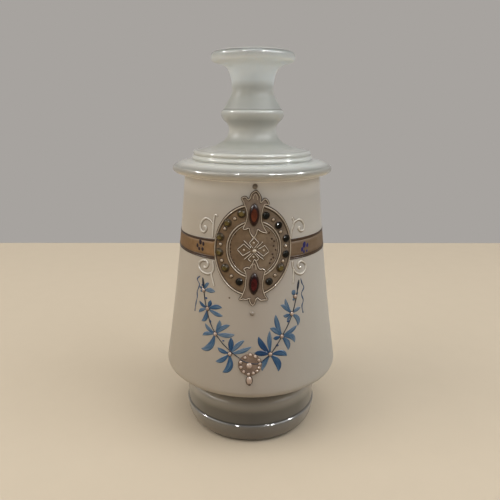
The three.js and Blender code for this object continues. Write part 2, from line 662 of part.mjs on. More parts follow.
function addGarland(side, shares, way) {
  const flowers = shares.map(({ out, down, petals }) => (
    { x: out * GARLAND_HALF_WIDTH, y: -down * ROSETTE_DROP, petals }));
  const first = flowers[0];
  const stem = [[first.x, first.y + STEM_START], ...flowers.map((f) => [f.x, f.y])];
  stem.push([way * ROSETTE_RADIUS * 0.96, -ROSETTE_DROP + ROSETTE_RADIUS * 0.35]);
  const outlines = [stroke(stem, GARLAND_STEM_WIDTH, 14)];
  for (const flower of flowers) {
    for (const [angle, length] of flower.petals) {
      outlines.push(petal(flower, angle, length * PETAL_LENGTH));
    }
  }
  const clear = ROSETTE_RADIUS + SIDE_GAP;
  const rosette = prism(moved(oval(clear, clear, 24), 0, -ROSETTE_DROP));
  const leaves = painted(outlines, -ROSETTE_DROP - PETAL_LENGTH, first.y + PETAL_LENGTH);
  add(`garland_${side}`, geometryOf(leaves.subtract(rosette)), blue);

  flowers.forEach((f, i) => {
    const bead = dome(FLOWER_CENTRE_RADIUS, FLOWER_CENTRE_RADIUS, FLOWER_CENTRE_RADIUS * 0.8);
    add(`flower_centre_${side}_${i + 1}`, laid(bead, f.x, f.y, SEAT_GAP + PAINT + SEAT_GAP), pearl);
  });

  const ribbon = [];
  const waves = 8;
  for (let i = 0; i <= waves; i++) {
    const wave = (i % 2 ? RIBBON_WAVE : -RIBBON_WAVE);
    const x = way * (RIBBON_REACH + RIBBON_SPREAD * i / waves) + wave;
    ribbon.push([x, first.y + STEM_START - RIBBON_LENGTH * i / waves]);
  }
  const wavy = stroke(ribbon, RIBBON_WIDTH, 16);
  const strip = painted([wavy], first.y - RIBBON_LENGTH, first.y + PETAL_LENGTH);
  add(`ribbon_${side}`, geometryOf(strip), blue);
}

function addRosette() {
  const reach = fit * ROSETTE_RADIUS + 1;
  const zRosette = zMedallion - fit * ROSETTE_DROP;
  const disc = moved(oval(ROSETTE_RADIUS, ROSETTE_RADIUS, 24), 0, -ROSETTE_DROP);
  const ground = solidOf(layer(SEAT_GAP, groundTop, zRosette - reach, zRosette + reach));
  const parts = [ground.intersect(prism(disc))];
  const ringRadius = ROSETTE_RADIUS - PEARL_RADIUS - 0.3;
  for (let i = 0; i < ROSETTE_PEARLS; i++) {
    const angle = 2 * Math.PI * i / ROSETTE_PEARLS;
    const bead = dome(PEARL_RADIUS, PEARL_RADIUS, PEARL_RADIUS + ENAMEL, 6);
    const x = ringRadius * Math.cos(angle);
    const y = ringRadius * Math.sin(angle) - ROSETTE_DROP;
    parts.push(solidOf(laid(bead, x, y, SEAT_GAP + ENAMEL / 3)));
  }
  add('rosette', geometryOf(joined(parts)), taupe);
  const middle = dome(ROSETTE_CENTRE_RADIUS, ROSETTE_CENTRE_RADIUS, ROSETTE_CENTRE_RADIUS, 10);
  add('rosette_centre_pearl', laid(middle, 0, -ROSETTE_DROP, onGround), pearl);
  const drop = dome(PENDANT_HALF_WIDTH, PENDANT_HALF_HEIGHT, PENDANT_HALF_WIDTH, 10);
  const dropPlace = -ROSETTE_DROP - ROSETTE_RADIUS - SIDE_GAP - PENDANT_HALF_HEIGHT;
  add('pendant_drop', laid(drop, 0, dropPlace, SEAT_GAP), pearl);
}

add('vessel', vesselGeometry(), opaline);
addBand();
addMedallionGround();
addRim('outer_rim', OVAL_HALF_WIDTH, OVAL_HALF_HEIGHT, SEAT_GAP);
addRim('inner_rim', INNER_HALF_WIDTH, INNER_HALF_HEIGHT, onGround);
addCartouche('cartouche_upper', 1);
addCartouche('cartouche_lower', -1);
addJewels();
addCross();
for (const [side, sign] of [['left', -1], ['right', 1]]) {
  addScroll(`scroll_${side}_upper`, sign, 1);
  addScroll(`scroll_${side}_lower`, sign, -1);
}
addGarland('left', FLOWERS_LEFT, -1);
addGarland('right', FLOWERS_RIGHT, 1);
addRosette();

export default vase;
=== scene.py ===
import math

import bpy
import numpy as np
from mathutils import Euler, Matrix, Vector


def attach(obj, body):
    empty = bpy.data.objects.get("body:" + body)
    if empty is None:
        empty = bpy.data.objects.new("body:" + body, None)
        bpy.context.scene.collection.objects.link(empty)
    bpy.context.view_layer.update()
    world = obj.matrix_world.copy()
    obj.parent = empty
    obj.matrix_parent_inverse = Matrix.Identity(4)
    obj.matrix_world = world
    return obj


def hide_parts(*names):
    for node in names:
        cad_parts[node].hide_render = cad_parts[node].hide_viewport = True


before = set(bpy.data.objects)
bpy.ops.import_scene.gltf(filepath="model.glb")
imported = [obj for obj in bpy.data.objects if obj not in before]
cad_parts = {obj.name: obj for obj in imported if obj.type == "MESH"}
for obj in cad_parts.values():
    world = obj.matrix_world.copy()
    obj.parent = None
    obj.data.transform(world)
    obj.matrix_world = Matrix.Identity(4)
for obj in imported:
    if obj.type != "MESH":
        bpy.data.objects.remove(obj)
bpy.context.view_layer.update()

# Lengths are in millimetres, as in the solids, and MM turns them into metres.
MM = 0.001
rng = np.random.default_rng(7)

# Radii of the vessel, from the foot up.
FOOT_BASE = 33.7
RING = 3.5
RIDGE = 38.0
WAIST = 29.5
BODY_LOW = 48.5
BODY_TOP = 36.0
BODY_SAG = 1.0
FLANGE = 42.2
DISC = 31.2
BEAD = 0.9
THROAT = 12.3
KNOP = 16.5
NECK = 10.5
LIP = 21.5
WALL = 2.8
NECK_WALL = 2.7

# Heights of the vessel.
Z_RECESS = 2.0
Z_RIDGE = 10.3
Z_FOOT_WALL = 20.4
Z_FOOT_TOP = 25.6
Z_UNDER = 29.8
Z_BODY_LOW = 38.5
Z_BODY_TOP = 142.0
Z_FLANGE = 148.4
FLANGE_LIP = 4.6
FLANGE_SLOPE = 1.9
Z_DISC = 155.4
Z_THROAT = 165.7
Z_KNOP = 175.1
Z_NECK = 184.0
Z_FLARE = 185.8
Z_LIP_EDGE = 198.6
Z_TOP = 204.2

# The ornament: its centre, its lean, and how far its layers stand out from the glass.
Z_MEDALLION = 110.3
LEAN = 0.025
GROUND_TOP = 0.45
PLATE_TOP = 0.8
SINK = 0.06


def body_radius(z):
    t = (np.asarray(z, float) - Z_BODY_LOW) / (Z_BODY_TOP - Z_BODY_LOW)
    return BODY_LOW + (BODY_TOP - BODY_LOW) * t - 4 * BODY_SAG * t * (1 - t)


def on_body(x, y, lift):
    """Points in metres from arc length x, height y over the medallion's centre, and lift."""
    x, y, lift = (np.asarray(v, float) for v in (x, y, lift))
    z = Z_MEDALLION + y
    r = body_radius(z)
    a = (x + LEAN * y) / r
    return np.stack([(r + lift) * np.sin(a), -(r + lift) * np.cos(a), z + 0 * a], -1) * MM


def vessel_profile():
    """The outline from the recess up to the lip and down the inside, and where the satin runs."""
    points = [(0, Z_RECESS)]

    def draw(r, z, steps=1, *offsets):
        """Line or Bezier curve to the corner at r and z, or through offsets from that corner."""
        control = np.vstack([points[-1], np.reshape(offsets or (0, 0), (-1, 2)) + (r, z)])
        order = len(control) - 1
        for i in range(1, steps + 1):
            t = i / steps
            weights = [math.comb(order, k) * (1 - t) ** (order - k) * t ** k for k in range(order + 1)]
            points.append(tuple(np.dot(weights, control)))

    ring_in = FOOT_BASE - RING
    draw(ring_in * 0.6, Z_RECESS, 3)
    draw(ring_in, 0, 8, ring_in * -0.05, Z_RECESS, 0, 0.4)
    draw(ring_in, 0, 3, 0.2, 0, 0.9, 0)
    draw(FOOT_BASE, 0, 1, -0.8, 0)
    draw(FOOT_BASE, 0, 4, 0, 0, 0.55, 0.7)
    draw(RIDGE, Z_RIDGE, 14, -0.8, -7.21, -0.4, -1)
    draw(RIDGE, Z_RIDGE, 12, 0.1, 0.8, -0.8, 1.25)
    draw(RIDGE, Z_RIDGE, 7, -1, 1.35, -1, 2.3)
    draw(RIDGE, Z_FOOT_WALL, 3, -0.8, 0)
    draw(RIDGE, Z_FOOT_TOP, 12, -1.2, 0, -5, 0)
    draw(WAIST, Z_FOOT_TOP, 10, 0, 0.1, 0, 2.1)
    draw(WAIST, Z_UNDER, 10, 0, 0, 3, 0.5)
    draw(BODY_LOW, Z_UNDER, 5, -4, 4.1)
    satin_from = len(points) - 4
    draw(BODY_LOW, Z_BODY_LOW, 16, -1.2, -3.65, 0, -2, 0, 0)
    points += [(body_radius(z), z) for z in np.linspace(Z_BODY_LOW, Z_BODY_TOP, 37)[1:]]
    z_lip = Z_FLANGE - FLANGE_LIP
    draw(BODY_TOP, z_lip, 8, -0.1, -0.7, 1.8, -0.5)
    satin_to = len(points) - 2
    draw(FLANGE, z_lip, 2, -2.4, 0)
    draw(FLANGE, z_lip, 12, 0.3, 0.7, 0, 2.6)
    draw(FLANGE, Z_FLANGE, 5, -0.1, -1.2, -0.8, -0.7)
    draw(FLANGE, Z_FLANGE, 3, -1.3, -0.4, -1.5, -0.4)
    draw(FLANGE, Z_FLANGE, 4, -1.8, -0.3, -2.2, 0)
    draw(FLANGE, Z_FLANGE, 3, -4.8, FLANGE_SLOPE * 0.6)
    foot = Z_FLANGE + FLANGE_SLOPE
    middle = (foot + Z_DISC) / 2
    draw(DISC, foot, 3, 1, 0)
    draw(DISC, foot, 4, 0.3, 0, 0.4, 0.3)
    draw(DISC, middle, 10, 0.6 + BEAD, (foot - middle) / 2, -0.2, 0)
    draw(DISC, Z_DISC, 10, BEAD * 0.8, -0.9, -1.2, -0.1)
    draw(DISC, Z_DISC, 4, -1.8, -0.1, -2.4, 0.2)
    draw(THROAT, Z_THROAT, 24, 7.98, -9.2, 1.2, -7.5, 0, -0.6)
    draw(KNOP, Z_KNOP, 18, -4.4, -5.17, 0, -5.64, 0, -1.4)
    draw(KNOP, Z_KNOP, 9, 0, -0.1, -0.9, 0.4)
    draw(KNOP, Z_KNOP, 4, -1.15, 0.5, -1.35, 0.9)
    draw(NECK, Z_NECK, 14, 2.5, -4.8, 0.9, -1.7)
    draw(NECK, Z_FLARE, 8, 0.1, -1.8, 0, 0)
    flare = Z_LIP_EDGE - Z_FLARE
    draw(NECK, Z_FLARE, 12, 0.4, flare * 0.48, 2.2, flare * 0.74)
    draw(LIP, Z_LIP_EDGE, 14, -7.4, -0.9, -2.2, 0)
    draw(LIP, Z_LIP_EDGE, 8, 0, 0.3, 0, 2.5)
    draw(LIP, Z_TOP, 10, 0, -0.9, -2.4, -0.45)
    draw(LIP, Z_TOP, 4, -3.4, -0.05, -4.2, 0)
    bore = NECK - NECK_WALL
    throat = THROAT - NECK_WALL
    draw(bore, Z_LIP_EDGE, 12, 3.6, 3, 1.8, -4)
    draw(bore, Z_FLARE, 6, 0, 5.8, 0, 0)
    draw(bore, Z_KNOP, 2)
    draw(throat, Z_THROAT, 2)
    draw(throat, Z_DISC, 8, 0, 2.2, DISC * 0.62 - throat, -1.2)
    roof = Z_DISC - WALL
    draw(DISC - 5, roof)
    draw(BODY_TOP - WALL, roof - 8, 3)
    points += [(body_radius(z) - WALL, z) for z in np.linspace(Z_BODY_TOP, Z_BODY_LOW + 2, 9)]
    draw(BODY_LOW - 6.5, Z_UNDER + WALL + 3.6)
    draw(WAIST + 1.4, Z_UNDER + WALL + 0.4)
    draw(WAIST - WALL, Z_UNDER - 1.2)
    foot_in = RIDGE - 0.6 - WALL
    draw(WAIST - WALL + 3, Z_FOOT_TOP - WALL - 0.3)
    draw(foot_in, Z_FOOT_TOP - WALL - 4)
    draw(foot_in, Z_RIDGE)
    draw(ring_in, Z_RECESS + WALL)
    draw(0, Z_RECESS + WALL)
    return points, satin_from, satin_to


# Meshes. A shape is its vertices in metres and its faces.

def add_object(name, data):
    obj = bpy.data.objects.new(name, data)
    bpy.context.scene.collection.objects.link(obj)
    return obj


def make(name, shape, looks, replaces=(), attributes=None, face_look=None, smooth=True):
    """Adds one piece with its looks by name. It rides on the only body and may stand for nodes."""
    verts, faces = shape
    mesh = bpy.data.meshes.new(name)
    mesh.from_pydata(np.asarray(verts, float).tolist(), [], faces)
    for look in [looks] if isinstance(looks, str) else looks:
        mesh.materials.append(LOOKS[look])
    mesh.polygons.foreach_set("use_smooth", [smooth] * len(mesh.polygons))
    if face_look is not None:
        mesh.polygons.foreach_set("material_index", face_look)
    for key, values in (attributes or {}).items():
        layer = mesh.attributes.new(key, "FLOAT", "POINT")
        layer.data.foreach_set("value", np.asarray(values, np.float32))
    mesh.update()
    obj = add_object(name, mesh)
    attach(obj, "root")
    if replaces:
        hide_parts(*replaces)


class Bag:
    """Gathers several closed shapes for one piece."""

    def __init__(self, *shapes):
        self.verts, self.faces, self.attributes, self.count = [], [], {}, 0
        for shape in shapes:
            self.put(shape)

    def put(self, shape, **attributes):
        verts, faces = shape
        self.verts.append(verts)
        self.faces += [tuple(i + self.count for i in f) for f in faces]
        for key, value in attributes.items():
            values = np.broadcast_to(np.asarray(value, float), (len(verts),))
            self.attributes.setdefault(key, []).append(values)
        self.count += len(verts)

    def make(self, name, looks, slot, replaces=()):
        attributes = {k: np.concatenate(v) for k, v in self.attributes.items()}
        make(name, (np.concatenate(self.verts), self.faces), looks, replaces, attributes)


def lathe(points, steps):
    """Closed turned surface, and the profile step that each face comes from."""
    verts, rings, faces, owner = [], [], [], []
    for r, z in points:
        if r < 1e-9:
            rings.append([len(verts)] * steps)
            verts.append((0, 0, z * MM))
            continue
        rings.append(list(range(len(verts), len(verts) + steps)))
        for i in range(steps):
            a = 2 * math.pi * i / steps
            verts.append((r * MM * math.sin(a), -r * MM * math.cos(a), z * MM))
    for k in range(len(rings) - 1):
        for i in range(steps):
            j = (i + 1) % steps
            face = [rings[k][i], rings[k][j], rings[k + 1][j], rings[k + 1][i]]
            faces.append(tuple(dict.fromkeys(face)))
            owner.append(k)
    return verts, faces, owner


def smooth_path(points, n, closed=False):
    """Even points along a Catmull-Rom curve through the given ones."""
    p = np.asarray(points, float)
    if closed:
        q = np.vstack([p[-1:], p, p[:2]])
    else:
        q = np.vstack([2 * p[:1] - p[1:2], p, 2 * p[-1:] - p[-2:-1]])
    t = np.linspace(0, 1, 17)[:-1, None]
    out = []
    for a, b, c, d in zip(q, q[1:], q[2:], q[3:]):
        out.append(0.5 * (2 * b + (c - a) * t + (2 * a - 5 * b + 4 * c - d) * t ** 2
                          + (3 * b - a - 3 * c + d) * t ** 3))
    out = np.vstack(out + [p[:1] if closed else p[-1:]])
    s = np.r_[0, np.cumsum(np.linalg.norm(np.diff(out, axis=0), axis=1))]
    at = np.linspace(0, s[-1], n + 1)[:-1] if closed else np.linspace(0, s[-1], n)
    return np.stack([np.interp(at, s, out[:, 0]), np.interp(at, s, out[:, 1])], 1)


def polyline(points, step=0.35):
    """Straight runs with their corners kept, cut into short steps."""
    p = [np.asarray(v, float) for v in points]
    out = []
    for a, b in zip(p, p[1:]):
        n = max(1, int(np.linalg.norm(b - a) / step))
        out += [a + (b - a) * i / n for i in range(n)]
    return np.array(out + [p[-1]])


def directions(path, closed=False):
    """Unit tangents and normals along a path."""
    tangent = np.roll(path, -1, 0) - np.roll(path, 1, 0) if closed else np.gradient(path, axis=0)
    tangent = tangent / np.maximum(np.linalg.norm(tangent, axis=1, keepdims=True), 1e-9)
    return tangent, np.stack([-tangent[:, 1], tangent[:, 0]], 1)


def relief(path, widths, heights, lift, closed=False, sides=8):
    """Raised line of domed section laid on the body along a path, in millimetres."""
    path = np.asarray(path, float)
    n = len(path)
    normal = directions(path, closed)[1]
    half = np.broadcast_to(np.asarray(widths, float) / 2, (n,))
    tall = np.broadcast_to(np.asarray(heights, float), (n,))
    if not closed:
        s = np.r_[0, np.cumsum(np.linalg.norm(np.diff(path, axis=0), axis=1))]
        u = np.clip(np.minimum(s, s[-1] - s) / np.maximum(half, 1e-6), 0, 1)
        rounding = np.sqrt(np.clip(1 - (1 - u) ** 2, 0.02, 1))
        half, tall = half * rounding, tall * rounding
    a = np.linspace(0, math.pi, sides)
    across = np.r_[np.cos(a), -1, 1]
    up = np.r_[np.sin(a), 0, 0]
    down = np.r_[np.zeros(sides), SINK, SINK]
    x = path[:, :1] + normal[:, :1] * half[:, None] * across
    y = path[:, 1:] + normal[:, 1:] * half[:, None] * across
    verts = on_body(x, y, lift + tall[:, None] * up - down).reshape(-1, 3)
    m = sides + 2
    faces = []
    for i in range(n if closed else n - 1):
        j = (i + 1) % n
        for k in range(m):
            w = (k + 1) % m
            faces.append((i * m + k, j * m + k, j * m + w, i * m + w))
    if not closed:
        faces.append(tuple(range(m)))
        faces.append(tuple(reversed(range((n - 1) * m, n * m))))
    return verts, faces


def mound(centre, offsets, levels, height, lift, under=()):
    """Rings round a centre, as shares of the offsets with a rise, closed by a point above and one below."""
    centre = np.asarray(centre, float)
    n = len(offsets)
    point = np.zeros((1, 2))
    rings = [(offsets * share, rise) for share, rise in levels] + [(point, height)]
    rings += [(offsets * share, -SINK) for share in under] + [(point, -SINK)]
    verts = [on_body(*(centre + ring).T, lift + rise) for ring, rise in rings]
    top = len(levels) * n
    starts = [0] + [top + 1 + k * n for k in range(len(under))]
    bottom = top + 1 + len(under) * n
    faces = []
    for i in range(n):
        j = (i + 1) % n
        for k in range(len(levels) - 1):
            a, b = k * n, (k + 1) * n
            faces.append((a + i, a + j, b + j, b + i))
        faces.append((top - n + i, top - n + j, top))
        for b, a in zip(starts, starts[1:]):
            faces.append((a + i, a + j, b + j, b + i))
        faces.append((starts[-1] + j, starts[-1] + i, bottom))
    return np.concatenate(verts), faces


def plate(outline, centre, lift, height, rings, edge=0.12):
    """Thin plate of a star-shaped outline, drawn anticlockwise, with a softened edge."""
    offsets = outline - np.asarray(centre, float)
    softening = edge / np.linalg.norm(offsets, axis=1).mean()
    inner = np.linspace(1 - softening * 1.5, 0, rings + 1)[:-1]
    levels = [(1, -SINK), (1, height * 0.6), (1 - softening * 0.6, height * 0.92)]
    levels += [(share, height) for share in inner]
    return mound(centre, offsets, levels, height, lift, inner)


def ellipse(cx, cy, rx, ry, n, start=0.0, end=360.0):
    full = end - start == 360
    a = np.radians(np.linspace(start, end, n, endpoint=not full))
    return np.stack([cx + rx * np.cos(a), cy + ry * np.sin(a)], 1)


def bead(x, y, rx, ry, height, lift, steps=20):
    """Domed drop of enamel, a little uneven as one set by hand is."""
    turn = np.linspace(0, 2 * math.pi, steps, endpoint=False)
    wobble = 1 + 0.04 * np.sin(2 * turn + rng.uniform(0, 6))
    dome = np.radians([4, 18, 34, 50, 66, 80])
    levels = [(1.0, -SINK)] + [(math.cos(a), height * math.sin(a)) for a in dome]
    return mound((x, y), ellipse(0, 0, rx, ry, steps) * wobble[:, None], levels, height, lift)


def cut_stone(x, y, outline, table, height, lift, turn=0.0):
    """Stone with a girdle, two rows of facets and a flat table, and each face's look: 0 table, 1 facet."""
    c, s = math.cos(turn), math.sin(turn)
    outline = np.asarray(outline, float) @ np.array([[c, s], [-s, c]])
    n = len(outline)
    halfway = (outline + np.roll(outline, -1, 0)) / 2
    levels = [(outline * 0.96, -SINK), (outline, height * 0.3),
              (halfway * (0.5 + table * 0.52), height * 0.74), (outline * table, height)]
    verts = np.concatenate([on_body(x + p[:, 0], y + p[:, 1], lift + h) for p, h in levels])
    faces, looks = [], []
    for i in range(n):
        j = (i + 1) % n
        faces.append((i, j, n + j, n + i))
        faces.append((n + i, n + j, 2 * n + i))
        faces.append((n + j, 2 * n + j, 2 * n + i))
        faces.append((2 * n + i, 2 * n + j, 3 * n + j))
        faces.append((2 * n + i, 3 * n + j, 3 * n + i))
        looks += [1] * 5
    faces.append(tuple(range(3 * n, 4 * n)))
    faces.append(tuple(reversed(range(n))))
    return (verts, faces), looks + [0, 1]


PETAL_AT = [0, 0.12, 0.3, 0.5, 0.68, 0.82, 0.92, 1]
PETAL_WIDTH = [0.22, 0.45, 0.8, 1, 0.94, 0.7, 0.4, 0.06]


def petal(centre, tip, width, bend, paint, steps=17, lanes=7):
    """Brush stroke from near a flower's centre to the petal's tip, and its places along and across."""
    centre, tip = np.asarray(centre, float), np.asarray(tip, float)
    reach = tip - centre
    length = np.linalg.norm(reach)
    start = centre + reach * min(0.8 / length, 0.3)
    side = np.array([-reach[1], reach[0]]) / length
    middle = (start + tip) / 2 + side * bend * length * 1.7
    t = np.linspace(0, 1, steps)[:, None]
    line = (1 - t) ** 2 * start + 2 * t * (1 - t) * middle + t * t * tip
    normal = directions(line)[1]
    half = np.interp(t[:, 0], PETAL_AT, PETAL_WIDTH)[:, None] * width * 0.56
    s = np.linspace(-1, 1, lanes)
    lean = 1 + 0.5 * np.sign(bend) * s * (t - 0.3) * min(1, abs(bend) * 6)
    x = line[:, :1] + normal[:, :1] * half * s * lean
    y = line[:, 1:] + normal[:, 1:] * half * s * lean
    rise = paint * (0.55 + 0.45 * np.abs(s) ** 2) * np.minimum(1, (1 - np.abs(s)) * 6 + 0.25)
    return sheet(x, y, 0.02 + rise), np.tile(np.repeat(t[:, 0], lanes), 2), np.tile(s, steps * 2)


def sheet(x, y, lift):
    """Thin sheet over a grid of places on the body: its top, the same grid beneath, and the walls."""
    rows, lanes = x.shape
    n = rows * lanes
    verts = np.concatenate([on_body(x, y, height).reshape(-1, 3) for height in (lift, -SINK)])
    faces = []
    for i in range(rows - 1):
        for k in range(lanes - 1):
            a, b, c, d = i * lanes + k, (i + 1) * lanes + k, (i + 1) * lanes + k + 1, i * lanes + k + 1
            faces += [(a, b, c, d), (n + a, n + d, n + c, n + b)]
        a, b = i * lanes, (i + 1) * lanes
        faces.append((a, n + a, n + b, b))
        a, b = a + lanes - 1, b + lanes - 1
        faces.append((a, b, n + b, n + a))
    for k in range(lanes - 1):
        faces.append((k, k + 1, n + k + 1, n + k))
        a = (rows - 1) * lanes + k
        faces.append((a, n + a, n + a + 1, a + 1))
    return verts, faces


# Materials, kept in LOOKS by name.

LOOKS = {}


def srgb(r, g, b):
    """Screen colour, 0 to 255, as the linear values that shaders take."""
    return tuple(((v / 255 + 0.055) / 1.055) ** 2.4 for v in (r, g, b)) + (1.0,)


class Nodes:
    """Short ways to add shader nodes. An input gets a value, or is linked to the output given for it."""

    def __init__(self, tree):
        self.tree = tree

    def fill(self, node, inputs):
        for key, value in inputs.items():
            if isinstance(value, bpy.types.NodeSocket):
                self.tree.links.new(value, node.inputs[key])
            else:
                node.inputs[key].default_value = value

    def node(self, kind, inputs=None, **settings):
        made = self.tree.nodes.new("ShaderNode" + kind)
        for key, value in settings.items():
            setattr(made, key, value)
        self.fill(made, inputs or {})
        return made

    def math(self, kind, *values):
        return self.node("Math", dict(enumerate(values)), operation=kind).outputs[0]


class Look(Nodes):
    """A node material around one Principled shader."""

    def __init__(self, name, roughness, specular=0.2, coat=0.0, coat_roughness=0.1):
        LOOKS[name] = material = bpy.data.materials.new(name)
        material.use_nodes = True
        super().__init__(material.node_tree)
        self.shader = self.tree.nodes["Principled BSDF"]
        self.set({"Roughness": roughness, "Specular IOR Level": specular, "Coat Weight": coat,
                  "Coat Roughness": coat_roughness})
        self.place = self.node("TexCoord").outputs["Object"]

    def set(self, inputs):
        self.fill(self.shader, inputs)

    def noise(self, scale, detail, roughness=0.55, stretch=None, place=None):
        place = place or self.place
        if stretch:
            place = self.node("Mapping", {"Vector": place, "Scale": stretch}).outputs["Vector"]
        inputs = {"Vector": place, "Scale": scale, "Detail": detail, "Roughness": roughness}
        return self.node("TexNoise", inputs).outputs["Fac"]

    def ramp(self, fac, stops):
        made = self.node("ValToRGB", {"Fac": fac})
        while len(made.color_ramp.elements) < len(stops):
            made.color_ramp.elements.new(0.5)
        for element, (at, colour) in zip(made.color_ramp.elements, stops):
            element.position = at
            element.color = colour
        return made.outputs["Color"]

    def span(self, value, low, high, to_low=0.0, to_high=1.0):
        inputs = {"Value": value, "From Min": low, "From Max": high, "To Min": to_low, "To Max": to_high}
        return self.node("MapRange", inputs).outputs["Result"]

    def mix(self, fac, a, b, blend="MIX"):
        """Inputs 0, 6 and 7 of this node are its factor and two colours, and output 2 is their mix."""
        return self.node("Mix", {0: fac, 6: a, 7: b}, data_type="RGBA", blend_type=blend).outputs[2]

    def attribute(self, name):
        return self.node("Attribute", attribute_name=name).outputs["Fac"]

    def axis(self, name):
        return self.node("SeparateXYZ", {0: self.place}).outputs[name]

    def heights(self, stops):
        """Colours by height: each stop is a height in millimetres and a screen colour."""
        share = self.span(self.axis("Z"), 0, Z_TOP * MM)
        return self.ramp(share, [(z / Z_TOP, srgb(*colour)) for z, colour in stops])

    def sides(self, reach, left, centre, right):
        """Tint from the left to the right side, as shares of the colour under it."""
        share = self.span(self.axis("X"), -reach * MM, reach * MM)
        return self.ramp(share, [(0, (*left, 1)), (0.5, (*centre, 1)), (1, (*right, 1))])

    def rings(self, base, tint, lines):
        """Thin darker lines of painted shade round the glass: each has a height, a half width and a strength.
        """
        z = self.axis("Z")
        for height, half, strength in lines:
            off = self.math("ABSOLUTE", self.math("SUBTRACT", z, height * MM))
            base = self.mix(self.span(off, half * MM * 0.3, half * MM, strength, 0), base, tint)
        return base

    def finish(self, colour, grain, low, high, least, most):
        """Base colour, and a roughness from least to most as the grain goes from low to high."""
        self.set({"Base Color": colour, "Roughness": self.span(grain, low, high, least, most)})

    def bump(self, height, depth, strength=0.6):
        made = self.node("Bump", {"Height": height, "Distance": depth * MM, "Strength": strength})
        self.set({"Normal": made.outputs["Normal"]})

    def milky(self, weight, depth):
        """Light that enters the glass and comes out again nearby."""
        self.set({"Subsurface Weight": weight, "Subsurface Radius": (1.0, 0.9, 0.8),
                  "Subsurface Scale": depth * MM})


def satin_glass():
    look = Look("opaline_satin", 0.48)
    # The colours by height paint light and shade: lighter just under the flange, against the shade there, and
    # a little darker and warmer low down, as light bounced up from below.
    base = look.heights([(32, (182, 172, 158)), (36, (172, 163, 152)), (50, (174, 165, 154)),
                         (75, (180, 171, 160)), (105, (184, 175, 165)), (126, (184, 176, 166)),
                         (134, (184, 178, 170)), (139, (206, 201, 193)), (143, (218, 213, 205))])
    # The side tint paints the light: warm on the left, cool on the right and darker in the middle.
    tint = look.sides(44, (0.87, 0.84, 0.76), (0.75, 0.73, 0.71), (0.9, 0.96, 1.0))
    # Near the top the tint fades to a second one that is lighter in the middle: painted light against the
    # shade under the flange.
    shaded = look.span(look.axis("Z"), 122 * MM, 138 * MM, 0, 0.8)
    tint = look.mix(shaded, tint, look.sides(40, (0.9, 0.88, 0.84), (1.0, 1.0, 1.0), (0.84, 0.84, 0.84)))
    base = look.mix(1.0, base, tint, "MULTIPLY")
    cloud = look.noise(30, 4, stretch=(1, 1, 0.5))
    base = look.mix(look.span(cloud, 0.35, 0.7, 0, 0.12), base, srgb(140, 130, 118))
    stain = look.noise(75, 5, 0.7)
    base = look.mix(look.span(stain, 0.68, 0.8, 0, 0.16), base, srgb(128, 112, 94))
    fine = look.noise(900, 3)
    look.finish(base, fine, 0.2, 0.8, 0.44, 0.54)
    look.bump(fine, 0.03)
    look.milky(0.3, 5)


def gloss_glass():
    look = Look("opaline_gloss", 0.5, specular=0.14, coat=0.7, coat_roughness=0.08)
    # The colours by height paint light and shade: darker on the flange's rim, lighter on the flange top, the
    # neck's foot and the flare under the lip, and a dark band just under the lip's top edge as a painted
    # reflection.
    base = look.heights([(144.5, (176, 171, 161)), (146.4, (132, 129, 121)), (147.6, (122, 121, 115)),
                         (148.5, (138, 138, 133)), (149.3, (168, 169, 165)), (151.2, (186, 187, 182)),
                         (155.6, (152, 152, 148)), (156.2, (150, 151, 145)), (159.5, (144, 145, 139)),
                         (163, (172, 172, 166)), (166, (192, 192, 187)), (170, (168, 170, 168)),
                         (173.5, (168, 170, 167)), (177, (152, 154, 150)), (184, (164, 166, 162)),
                         (187, (174, 178, 178)), (190, (202, 210, 216)), (196, (210, 219, 227)),
                         (199.6, (204, 211, 216)), (201, (168, 173, 174)), (202.2, (132, 136, 134)),
                         (203, (100, 104, 102)), (203.7, (80, 84, 82)), (204, (190, 192, 188))])
    # The side tint paints slightly warmer light on the left.
    tint = look.sides(30, (1.0, 0.98, 0.93), (0.97, 0.97, 0.96), (0.97, 1.0, 1.0))
    base = look.mix(1.0, base, tint, "MULTIPLY")
    # Painted shade in the grooves: darker lines along the flange's edge, the disc's foot and top edge, and
    # the crease over the knop.
    lines = [(147.9, 0.35, 0.45), (150.4, 0.3, 0.15), (155.35, 0.22, 0.4), (175.75, 0.4, 0.7)]
    base = look.rings(base, srgb(104, 104, 98), lines)
    cloud = look.noise(24, 3, stretch=(1, 1, 0.4))
    base = look.mix(look.span(cloud, 0.35, 0.7, 0, 0.1), base, srgb(136, 134, 126))
    look.finish(base, cloud, 0.25, 0.75, 0.46, 0.56)
    polish = [(155.9, 1.0), (158, 0.05), (167, 0.05), (170, 0.8), (175.9, 1.0), (176.3, 0.0),
              (198, 0.05), (201, 1.0)]
    share = look.span(look.axis("Z"), 0, Z_TOP * MM)
    polish = look.ramp(share, [(z / Z_TOP, (v, v, v, 1)) for z, v in polish])
    look.set({"Coat Weight": polish})
    wave = look.noise(60, 2, stretch=(1, 1, 0.6))
    look.bump(wave, 0.12, 0.35)
    look.milky(0.7, 9)


